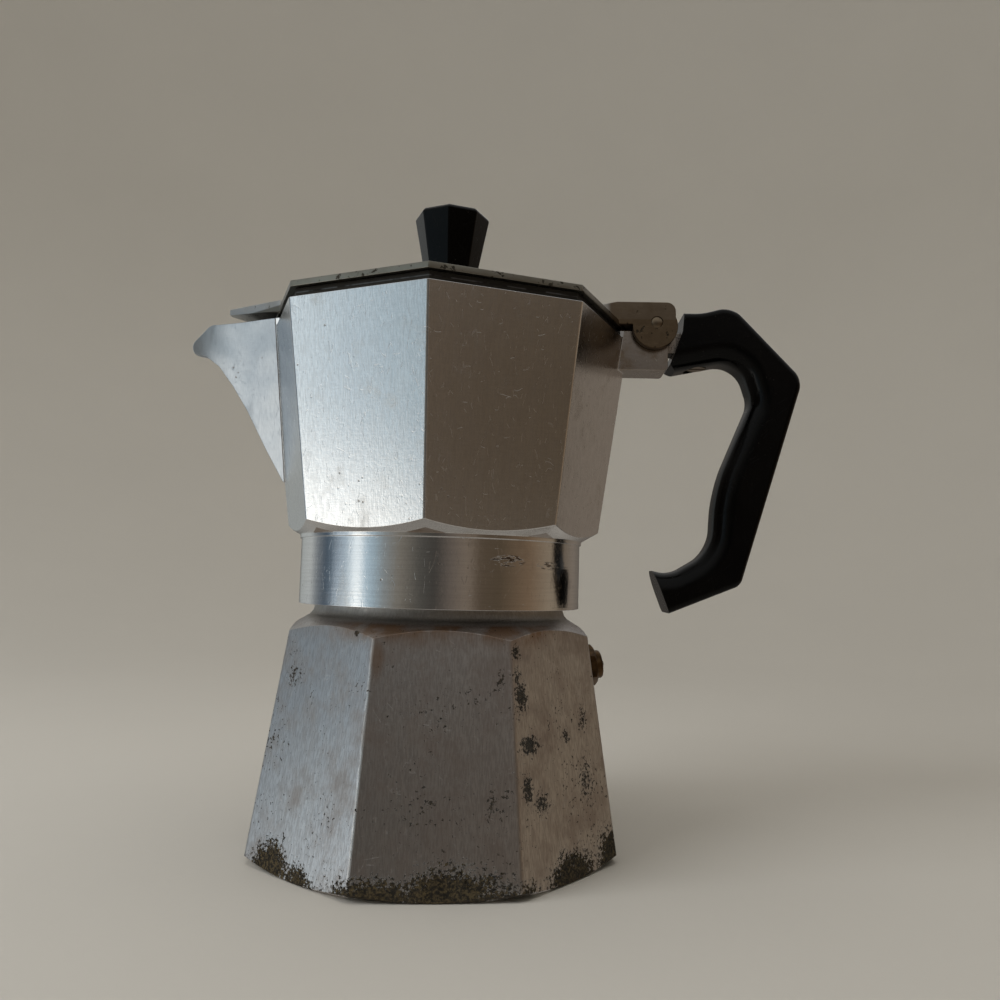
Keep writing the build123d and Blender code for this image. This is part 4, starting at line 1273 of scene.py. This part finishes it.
@dataclass
class Spout:
    """The V-shaped spout that leans out from the jug's corner at -X."""

    keel: tuple[Point2, ...] = ((40.0, 90.3), (43.4, 92.6), (48.4, 101.2), (54.0, 111.6), (58.2, 118.2),
                                (62.4, 123.7), (66.0, 126.3), (70.0, 127.2))
    keel_half_width: float = 1.2
    flare: float = 0.25
    top_z: float = 134.5
    tip_x: float = 69.8
    lip_z: float = 126.2
    lip_radius: float = 2.4
    shoulder_x: float = 64.5
    lip_tangent: Point2 = (69.02, 130.37)
    lip_bend: float = 3.2
    reach_y: float = 14.0
    reach_down: float = 5.0
    trough_rise: float = 4.0
    trough_half_width: float = 0.6
    trough_root_x: float = 41.0

    def _wedge(self, rise: float, half_width: float) -> Solid:
        """The V between its keel and a level above the spout's top.

        Args:
            rise: How far its keel runs above the spout's own keel.
            half_width: Half of its width at the keel.

        Returns:
            The wedge.
        """
        mesh = bmesh.new()
        top = self.top_z + 2
        rings = []
        for reach, keel_z in self.keel:
            foot_z = keel_z + rise
            head = half_width + self.flare * (top - foot_z)
            corners = [(-reach, -half_width, foot_z), (-reach, half_width, foot_z), (-reach, head, top),
                       (-reach, -head, top)]
            points = [mesh.verts.new(corner) for corner in corners]
            rings.append([mesh.edges.new(pair) for pair in zip(points, points[1:] + points[:1])])
        for first, second in zip(rings, rings[1:]):
            bmesh.ops.bridge_loops(mesh, edges=first + second)
        bmesh.ops.holes_fill(mesh, edges=rings[0] + rings[-1])
        bmesh.ops.recalc_face_normals(mesh, faces=mesh.faces)
        return Solid(mesh)

    def solid(self) -> Solid:
        """The spout before its trough is cut.

        Returns:
            The spout.
        """
        nose_x = self.tip_x - self.lip_radius
        nose_z = self.lip_z + self.lip_radius
        root_x = self.keel[0][0]
        bounds = Solid.slab([
            (-root_x, self.keel[0][1] - self.reach_down), (-nose_x, self.lip_z),
            (-self.lip_tangent[0], self.lip_tangent[1]),
            (-self.shoulder_x, self.top_z), (-root_x, self.top_z),
        ], self.reach_y, {3: self.lip_bend})
        bounds += Solid.rod(self.lip_radius, (-nose_x, -self.reach_y, nose_z), (-nose_x, self.reach_y, nose_z))
        return self._wedge(0, self.keel_half_width) & bounds

    def trough(self) -> Solid:
        """The space that the coffee pours through.

        Returns:
            The space, to be cut out.
        """
        foot_z = self.keel[0][1]
        bounds = Solid.slab([
            (-self.trough_root_x, foot_z), (-self.tip_x - 2, foot_z), (-self.tip_x - 2, self.top_z + 1.5),
            (-self.trough_root_x, self.top_z + 1.5),
        ], self.reach_y)
        return self._wedge(self.trough_rise, self.trough_half_width) & bounds


@dataclass
class Collector:
    """The octagonal jug with its spout, hinge lug, floor and threaded collar."""

    collar_radius: float = 36.5
    collar_foot_z: float = 60.7
    collar_top_z: float = 78.1
    foot: Point2 = (41.5, 80.7)
    top: Point2 = (48.7, 132.7)
    chamfer_foot: float = 36.9
    chamfer_slope: float = 0.585
    rim_radius: float = 46.9
    seat_z: float = 135.2
    floor: Point2 = (38.4, 80.4)
    mouth_radius: float = 45.2
    pocket: Point2 = (32.6, 73.6)
    ceiling_z: float = 76.42
    dome_foot: float = 25.2
    dome_top: Point2 = (9.0, 78.2)
    column_hole: Point2 = (5.0, 82.0)
    thread_root: float = 34.1
    lug_bend: float = 1.2
    lug_half_width: float = 5.0
    lug: tuple[Point2, ...] = ((43.0, 123.9), (58.7, 123.9), (58.7, 134.4), (43.0, 134.4))
    tang: tuple[Point2, ...] = ((57.7, 129.0), (71.0, 129.0), (71.0, 134.6), (57.7, 134.6))
    tang_half_width: float = 2.6
    eye_radius: float = 3.6
    pin: Point2 = (55.4, 136.1)
    pin_hole: float = 1.53
    edge: float = 0.4

    def side_radius(self, z: float) -> float:
        """Corner radius of the tapered side at height z."""
        return self.foot[0] + (self.top[0] - self.foot[0]) / (self.top[1] - self.foot[1]) * (z - self.foot[1])

    def _body(self) -> Solid:
        """The jug's outside with its chamfered foot, collar and rim.

        Returns:
            The jug's body.
        """
        low_z = self.collar_top_z - 1
        far = self.top[0] + 2
        body = Solid.prism((self.side_radius(low_z), low_z), self.top, edge=self.edge)
        body &= Solid.turned([
            (0, low_z), (self.chamfer_foot, low_z), (self.chamfer_foot, self.collar_top_z),
            (far, self.collar_top_z + self.chamfer_slope * (far - self.chamfer_foot)), (far, self.top[1]),
            (0, self.top[1]),
        ])
        body += Solid.turned([
            (0, self.collar_foot_z), (self.collar_radius, self.collar_foot_z), (self.collar_radius, self.collar_top_z),
            (0, self.collar_top_z),
        ])
        return body + Solid.prism((self.rim_radius, self.top[1] - 1), (self.rim_radius, self.seat_z))

    def _lug(self) -> Solid:
        """The hinge's lug with its eye and the tang inside the handle.

        Returns:
            The lug.
        """
        eye = Solid.rod(self.eye_radius, (self.pin[0], -self.lug_half_width, self.pin[1]),
                        (self.pin[0], self.lug_half_width, self.pin[1]))
        return Solid.slab(list(self.lug), self.lug_half_width, {1: self.lug_bend}) + eye + Solid.slab(
            list(self.tang), self.tang_half_width)

    def _under_floor(self) -> Solid:
        """The turned space inside the collar, up to the floor's domed underside.

        Returns:
            The space, to be cut out.
        """
        return Solid.turned([
            (0, self.collar_foot_z - 1), (self.thread_root, self.collar_foot_z - 1),
            (self.thread_root, self.pocket[1]), self.pocket, (self.pocket[0], self.ceiling_z),
            (self.dome_foot, self.ceiling_z), self.dome_top, (self.column_hole[0], self.dome_top[1]), self.column_hole,
            (0, self.column_hole[1]),
        ])

    def build(self, paint: Paint, thread: ScrewThread, spout: Spout) -> None:
        """Makes the jug and its thread.

        Args:
            paint: The finishes.
            thread: The screw thread.
            spout: The spout.
        """
        jug = self._body() + spout.solid() + self._lug()
        jug -= Solid.prism(self.floor, (self.mouth_radius + 0.1, self.seat_z + 0.8))
        jug -= spout.trough()
        jug -= self._under_floor()
        jug -= Solid.rod(self.pin_hole, (self.pin[0], -10, self.pin[1]), (self.pin[0], 10, self.pin[1]))
        jug.rounded(0.18, 2, merge=0.1).piece("collector_shell", "collector", Slot.COLLECTOR, paint, ("collector",))
        ridge = thread.ridge(self.thread_root, -1, thread.start_z - thread.pitch / 2 + 1.4)
        ridge.piece("collar_thread", "collector", Slot.COLLECTOR, paint)


@dataclass
class Handle:
    """The hooked handle, moulded in one piece over the jug's tang, round towards the fingers."""

    half_width: float = 7.0
    outer_edge: float = 1.6
    inner_edge: float = 5.2
    reach: float = 14.0
    outside: tuple[Point2, ...] = ((62.6, 139.1), (67.4, 139.1), (75.2, 141.2), (93.6, 121.8), (77.6, 67.9),
                                   (59.4, 60.3))
    outside_bends: tuple[tuple[int, float], ...] = ((2, 14.0), (3, 6.0), (4, 5.0), (5, 3.2))
    inside: tuple[Point2, ...] = ((55.3, 71.2), (60.0, 70.3), (70.4, 76.6), (71.3, 93.0), (80.9, 116.3),
                                  (77.4, 127.4), (60.8, 124.0))
    inside_bends: tuple[tuple[int, float], ...] = ((2, 7.0), (3, 10.0), (4, 40.0), (5, 6.0), (6, 7.0))
    front: tuple[Point2, ...] = ((60.8, 124.0), (59.2, 125.4), (62.2, 134.0), (62.6, 139.1))
    tang_slot: tuple[Point2, ...] = ((55.0, 128.85), (71.15, 128.85), (71.15, 134.75), (55.0, 134.75))
    tang_slot_half_width: float = 2.75
    screw_x: float = 66.5
    screw_foot_z: float = 120.0
    screw_end_z: float = 129.5
    screw_seat_z: float = 126.8
    screw_hole: float = 1.53
    screw_recess: float = 3.05

    def _rounded_slab(self, outline: list[Point2], bends: tuple[tuple[int, float], ...], edge: float) -> Solid:
        """A slab whose two rims are rounded to a quarter circle.

        Args:
            outline: Its (x, z) corners.
            bends: Radii of its bends by corner.
            edge: Radius of its rims.

        Returns:
            The slab.
        """
        slab = Solid.slab(outline, self.half_width - edge, dict(bends), 10)
        caps = [face for face in slab.mesh.faces if abs(face.normal.y) > 0.9]
        steps = 8
        for step in range(steps):
            first, second = (math.radians(90 * share / steps) for share in (step, step + 1))
            bmesh.ops.inset_region(slab.mesh, faces=caps, thickness=edge * (math.cos(first) - math.cos(second)),
                                   depth=edge * (math.sin(second) - math.sin(first)), use_even_offset=True,
                                   use_boundary=True)
        return slab

    def build(self, paint: Paint) -> None:
        """Makes the handle.

        Args:
            paint: The finishes.
        """
        far = self.reach
        (top_x, top_z), (tip_x, tip_z) = self.outside[0], self.outside[-1]
        (hook_x, hook_z), (under_x, under_z) = self.inside[0], self.inside[-1]
        inward = (Vector(self.inside[-1]) - Vector(self.inside[-2])).normalized() * far
        hook = (Vector(self.inside[0]) - Vector(self.inside[1])).normalized() * far
        tip = (Vector(self.outside[-1]) - Vector(self.outside[-2])).normalized() * far
        outer = [(top_x - far, top_z), *self.outside[1:-1], (tip_x + tip.x, tip_z + tip.y),
                 (hook_x - far, hook_z + far), (top_x - far, top_z - far)]
        outer_bends = tuple((index - 1, radius) for index, radius in self.outside_bends)
        inner = [(hook_x + hook.x, hook_z + hook.y), *self.inside[1:-1], (under_x + inward.x, under_z + inward.y),
                 (top_x - far, top_z + far), (self.outside[3][0] + far, top_z + far),
                 (self.outside[3][0] + far, tip_z - far), (hook_x - far, tip_z - far)]
        inner_bends = tuple((index - 1, radius) for index, radius in self.inside_bends)
        handle = self._rounded_slab(outer, outer_bends, self.outer_edge)
        handle &= self._rounded_slab(inner, inner_bends, self.inner_edge)
        ends = [(top_x - 2 * far, top_z + far), (top_x - 2 * far, under_z - 6), (under_x, under_z - 6), *self.front,
                (top_x, top_z + far)]
        handle -= Solid.slab(ends, self.half_width + 2)
        lean = (Vector((tip_x, tip_z)) - Vector((hook_x, hook_z))).normalized() * far
        handle -= Solid.slab([
            (hook_x - lean.x, hook_z - lean.y), (tip_x + lean.x, tip_z + lean.y),
            (tip_x + lean.x - 2 * far, tip_z + lean.y), (hook_x - lean.x - 2 * far, hook_z - lean.y),
        ], self.half_width + 2)
        handle -= Solid.slab(list(self.tang_slot), self.tang_slot_half_width)
        handle -= Solid.rod(self.screw_hole, (self.screw_x, 0, self.screw_foot_z), (self.screw_x, 0, self.screw_end_z))
        handle -= Solid.rod(self.screw_recess, (self.screw_x, 0, self.screw_foot_z),
                            (self.screw_x, 0, self.screw_seat_z))
        handle.rounded(0.3, sharp=math.radians(40)).piece("handle_moulding", "collector", Slot.BAKELITE, paint,
                                                          ("handle",))


@dataclass
class Lid:
    """The octagonal lid with its low roof, the flap over the spout, the hinge's ears and the knob."""

    radius: float = 48.5
    seat_z: float = 135.2
    edge: float = 1.5
    roof_foot: float = 45.4
    roof_top: Point2 = (9.0, 143.2)
    roof_wall: float = 1.5
    hollow: float = 43.6
    knob_foot: float = 5.8
    knob_top: Point2 = (10.4, 166.8)
    knob_bevel: float = 0.9
    knob_hole: Point2 = (140.0, 155.2)
    hole_radius: float = 1.53
    flap: tuple[Point2, ...] = ((35.0, 15.0), (42.4, 14.8), (60.3, 0.8))
    flap_inner_x: float = 36.0
    flap_rise: float = 2.9
    flap_thickness: Point2 = (3.0, 1.6)
    ear_y: Point2 = (5.3, 7.5)
    ear_x: Point2 = (51.2, 60.3)
    ear_z: Point2 = (135.6, 141.5)
    ear_bend: float = 2.4
    ear_round: Point2 = (55.0, 135.1)
    ear_radius: float = 5.9
    block_root: Point2 = (34.0, 139.2)
    block_shoulder_x: float = 45.0
    pin: Point2 = (55.4, 136.1)
    lug_gap_x: Point2 = (51.4, 63.0)
    lug_gap_z: Point2 = (127.0, 144.0)

    def _flap(self) -> Solid:
        """The pointed flap, which rises a little towards its tip.

        Returns:
            The flap.
        """
        foot, tip = self.seat_z, self.seat_z + self.flap_rise
        root_top, tip_top = foot + self.flap_thickness[0], tip + self.flap_thickness[1]
        root_x, tip_x = self.flap[1][0], self.flap[2][0]
        profile = Solid.slab([
            (-self.flap_inner_x, foot), (-root_x, foot), (-tip_x, tip), (-tip_x, tip_top), (-root_x, root_top),
            (-self.flap_inner_x, root_top),
        ], self.flap[1][1])
        near = [(-x, -y) for x, y in self.flap]
        plan = Solid.plate(near + [(x, -y) for x, y in reversed(near)], foot - 1, foot + 8)
        return profile & plan

    def _ears(self) -> Solid:
        """The block behind the roof and the two ears beside the lug.

        Returns:
            The block and ears.
        """
        inner_y, outer_y = self.ear_y
        (front, back), (foot, top), (low, high) = self.ear_x, self.ear_z, self.lug_gap_z
        (root_x, root_top), (round_x, round_z), (pin_x, pin_z) = self.block_root, self.ear_round, self.pin
        gap_x, past_x = self.lug_gap_x
        block = Solid.slab([(root_x, foot), (front, foot), (front, top), (self.block_shoulder_x, top),
                            (root_x, root_top)], outer_y)
        ears = Solid.slab([(front - 1, foot), (back, foot), (back, top), (front - 1, top)], outer_y, {2: self.ear_bend})
        ears += Solid.rod(self.ear_radius, (round_x, -outer_y, round_z), (round_x, outer_y, round_z), 72)
        ears -= Solid.slab([(front, low), (past_x, low), (past_x, high), (front, high)], inner_y)
        ears -= Solid.slab([(root_x, low), (gap_x, low), (gap_x, foot), (root_x, foot)], inner_y)
        return block + ears - Solid.rod(self.hole_radius, (pin_x, -20, pin_z), (pin_x, 20, pin_z))

    def build(self, paint: Paint) -> None:
        """Makes the lid and its knob.

        Args:
            paint: The finishes.
        """
        rim_top = self.seat_z + self.edge
        lid = Solid.prism((self.radius, self.seat_z), (self.radius, rim_top))
        lid += Solid.prism((self.roof_foot, rim_top - 0.01), self.roof_top)
        lid += self._flap()
        lid += self._ears()
        lid -= Solid.prism((self.hollow, self.seat_z - 0.01), (self.roof_top[0], self.roof_top[1] - self.roof_wall))
        lid -= Solid.rod(self.hole_radius, (0, 0, self.seat_z), (0, 0, self.roof_top[1] + 1))
        lid.rounded(0.18, 2, merge=0.1).piece("lid_shell", "lid", Slot.LID, paint, ("lid",))
        knob = Solid.prism((self.knob_foot, self.roof_top[1]), self.knob_top)
        crown_z = self.knob_top[1] - 0.01
        top_edges = [edge for edge in knob.mesh.edges if all(vert.co.z > crown_z for vert in edge.verts)]
        bmesh.ops.bevel(knob.mesh, geom=top_edges, offset=self.knob_bevel, offset_type="OFFSET", segments=1,
                        profile=0.5,
                        affect="EDGES", material=-1)
        knob -= Solid.rod(self.hole_radius, (0, 0, self.knob_hole[0]), (0, 0, self.knob_hole[1]))
        knob.rounded(0.3, 3, math.radians(20)).piece("knob_moulding", "lid", Slot.BAKELITE, paint, ("lid_knob",))
        for node in ("knob_washer", "knob_screw"):
            paint.dress_node(node, Slot.STEEL)


@dataclass
class HingePin:
    """The pin of the lid's hinge, with domed ends."""

    x: float = 55.4
    z: float = 136.1
    radius: float = 1.5
    length: float = 15.4

    def build(self, paint: Paint) -> None:
        """Makes the pin.

        Args:
            paint: The finishes.
        """
        half = self.length / 2
        pin = Solid.turned([
            (0, -half), (self.radius * 0.7, -half + 0.08), (self.radius, -half + 0.4), (self.radius, half - 0.4),
            (self.radius * 0.7, half - 0.08), (0, half),
        ], 48)
        pin.placed(Matrix.Translation((self.x, 0, self.z)) @ Matrix.Rotation(math.pi / 2, 4, "X"))
        pin.piece("hinge_rivet", "collector", Slot.STEEL, paint, ("hinge_pin",))


@dataclass
class Insides:
    """The loose parts inside: funnel, sieve, filter plate, seal and column."""

    def build(self, paint: Paint) -> None:
        """Dresses them.

        Args:
            paint: The finishes.
        """
        for node in ("funnel", "funnel_stem", "funnel_sieve", "filter_plate"):
            paint.dress_node(node, Slot.SHEET)
        paint.dress_node("seal_ring", Slot.RUBBER)
        paint.dress_node("column", Slot.COLLECTOR)
        paint.dress_node("handle_screw", Slot.STEEL)


# ---------------------------------------------------------------------------------------------------
# Studio
# ---------------------------------------------------------------------------------------------------

@dataclass
class Studio:
    """Floor, room, lights and camera."""

    floor_colour: Colour = (0.56, 0.535, 0.485)
    bowl_profile: tuple[Point2, ...] = (
        (0.0, 0.0), (420.0, 0.0), (520.0, 5.0), (620.0, 20.0), (720.0, 46.0), (820.0, 85.0), (920.0, 140.0),
        (1010.0, 210.0), (1090.0, 300.0), (1150.0, 400.0), (1190.0, 520.0), (1205.0, 650.0), (1205.0, 1900.0),
    )
    room_radius: float = 2.4
    sky: tuple[tuple[float, Colour], ...] = (
        (-180, (0.13, 0.17, 0.21)), (-175, (0.24, 0.30, 0.36)), (-164, (0.44, 0.53, 0.60)),
        (-156, (0.90, 1.00, 1.04)), (-152, (1.02, 1.10, 1.12)), (-145, (0.46, 0.59, 0.68)),
        (-137, (0.34, 0.43, 0.48)), (-129, (0.25, 0.27, 0.27)), (-117, (0.20, 0.18, 0.15)),
        (-101, (0.085, 0.080, 0.070)), (-89, (0.055, 0.050, 0.044)), (-78, (0.125, 0.103, 0.086)),
        (-64, (0.19, 0.15, 0.115)), (-54, (0.095, 0.070, 0.048)), (-38, (0.085, 0.062, 0.040)),
        (-10, (0.175, 0.118, 0.074)), (14, (0.255, 0.202, 0.145)), (30, (0.16, 0.125, 0.09)),
        (50, (0.20, 0.165, 0.133)), (68, (0.14, 0.12, 0.10)), (95, (0.10, 0.09, 0.08)),
        (112, (0.15, 0.15, 0.14)), (124, (0.36, 0.38, 0.37)),
        (148, (0.46, 0.48, 0.47)), (160, (0.20, 0.22, 0.235)), (172, (0.07, 0.095, 0.125)),
        (180, (0.12, 0.16, 0.20)),
    )
    window_glow: tuple[tuple[float, float, float, Colour, float], ...] = (
        (-152.0, -15.0, 17.0, (3.0, 2.85, 2.6), 1.0), (-172.0, -13.0, 17.0, (1.25, 1.38, 1.46), 0.9),
    )
    below: Colour = (0.33, 0.305, 0.27)
    above: Colour = (0.50, 0.50, 0.49)

    def _sky(self, graph: Graph) -> Wire:
        """What the pot reflects in each direction.

        Args:
            graph: The room's graph.

        Returns:
            The light's colour.
        """
        turn = graph.add("ShaderNodeMath", {"operation": "ARCTAN2"}, {0: graph.axes["Y"], 1: graph.axes["X"]})
        stops = [((azimuth + 180) / 360, colour) for azimuth, colour in self.sky]
        colour = graph.add("ShaderNodeValToRGB", {"stops": stops}, {0: (turn + math.pi) / (2 * math.pi)}, "Color")
        for azimuth, elevation, reach, glow, strength in self.window_glow:
            turn, lift = math.radians(azimuth), math.radians(elevation)
            centre = Vector((math.cos(turn) * math.cos(lift), math.sin(turn) * math.cos(lift), math.sin(lift)))
            size = self.room_radius / MM * math.radians(reach)
            spot = graph.patch(tuple(centre * self.room_radius / MM), (size, size, size))
            colour = graph.mix(spot.rising(0.0, 0.9) * strength, colour, glow)
        rise = graph.axes["Z"] / self.room_radius
        colour = graph.mix(rise.rising(-0.10, -0.60), colour, self.below)
        return graph.mix(rise.rising(0.16, 0.70), colour, self.above)

    def _room(self) -> None:
        """A large sphere that only reflections see, lighter to the left and brown ahead and to the right."""
        mesh = bmesh.new()
        bmesh.ops.create_uvsphere(mesh, u_segments=64, v_segments=32, radius=self.room_radius)
        data = bpy.data.meshes.new("room")
        mesh.to_mesh(data)
        mesh.free()
        room = bpy.data.objects.new("room", data)
        bpy.context.scene.collection.objects.link(room)
        graph = Graph("room_light")
        output = graph.tree.nodes["Material Output"]
        light = graph.add("ShaderNodeEmission", {}, {"Color": self._sky(graph), "Strength": 1.0})
        graph.tree.links.new(light.socket, output.inputs["Surface"])
        data.materials.append(graph.material)
        room.visible_camera = False
        room.visible_diffuse = False
        room.visible_shadow = False
        room.visible_transmission = False

    def _floor(self) -> None:
        """The pale floor, which curves up into a wall all round."""
        shape = Solid.turned([*self.bowl_profile, (1215.0, 1900.0), (1215.0, -10.0), (0.0, -10.0)], 128)
        bmesh.ops.scale(shape.mesh, vec=(MM, MM, MM), verts=shape.mesh.verts)
        for face in shape.mesh.faces:
            face.smooth = True
        data = bpy.data.meshes.new("floor")
        shape.mesh.to_mesh(data)
        shape.mesh.free()
        data.set_sharp_from_angle(angle=math.radians(50))
        floor = bpy.data.objects.new("floor", data)
        bpy.context.scene.collection.objects.link(floor)
        graph = Graph("floor_paint")
        clouds = graph.noise(160.0, 5.0)
        dark = tuple(value * 0.94 for value in self.floor_colour)
        fine = graph.noise(3.0, 4.0, shift=(0.1, 0.2, 0.3))
        data.materials.append(graph.finish(Base_Color=graph.mix(clouds, dark, self.floor_colour), Roughness=0.85,
                                           Metallic=0.0, Normal=graph.relief(fine, 0.05)))
        floor.visible_glossy = False

    @staticmethod
    def _lamp(name: str, place: Point3, size: float, power: float, colour: Colour, glossy: bool) -> None:
        """A square soft light that faces the pot.

        Args:
            name: Its name.
            place: Where it stands, in metres.
            size: Length of its side, in metres.
            power: Its power in watts.
            colour: Its colour.
            glossy: Whether it shows in reflections.
        """
        data = bpy.data.lights.new(name, "AREA")
        data.shape = "SQUARE"
        data.size = size
        data.energy = power
        data.color = colour
        lamp = bpy.data.objects.new(name, data)
        bpy.context.scene.collection.objects.link(lamp)
        target = Vector((0, 0, 0.08))
        lamp.location = place
        lamp.rotation_euler = (target - Vector(place)).to_track_quat("-Z", "Y").to_euler()
        lamp.visible_glossy = glossy
        lamp.visible_camera = False

    @staticmethod
    def _camera() -> None:
        """The camera, a little below the lid and turned slightly past the pot's front corner."""
        data = bpy.data.cameras.new("camera")
        data.sensor_width = 36.0
        data.lens = 31.59
        data.clip_start = 0.01
        data.clip_end = 20.0
        camera = bpy.data.objects.new("camera", data)
        bpy.context.scene.collection.objects.link(camera)
        right = Vector((0.999116, 0.032818, 0.026270))
        up = Vector((-0.023197, -0.090749, 0.995604))
        back = Vector((0.035058, -0.995333, -0.089908))
        turn = Matrix((right, up, back)).transposed().to_4x4()
        camera.matrix_world = Matrix.Translation((0.023392, -0.233483, 0.067937)) @ turn
        bpy.context.scene.camera = camera

    def build(self) -> None:
        """Sets up the whole studio."""
        self._camera()
        self._room()
        self._floor()
        self._lamp("window", (-0.60, -0.40, 0.50), 0.45, 3.6, (0.94, 0.97, 1.0), False)
        self._lamp("ceiling", (0.05, -0.10, 1.0), 0.9, 1.6, (1.0, 0.97, 0.93), False)
        world = bpy.data.worlds.new("world")
        bpy.context.scene.world = world
        world.use_nodes = True
        background = world.node_tree.nodes["Background"]
        background.inputs["Color"].default_value = (0.92, 0.90, 0.87, 1.0)
        background.inputs["Strength"].default_value = 0.88
        bpy.context.scene.view_settings.view_transform = "Standard"


def main() -> None:
    """Builds the studio and every piece of the pot."""
    logging.basicConfig(level=logging.INFO, format="%(name)s: %(message)s")
    Studio().build()
    paint = Paint()
    thread = ScrewThread()
    Boiler().build(paint, thread)
    SafetyValve().build(paint)
    Collector().build(paint, thread, Spout())
    Handle().build(paint)
    Lid().build(paint)
    HingePin().build(paint)
    Insides().build(paint)


if __name__ == "__main__":
    main()
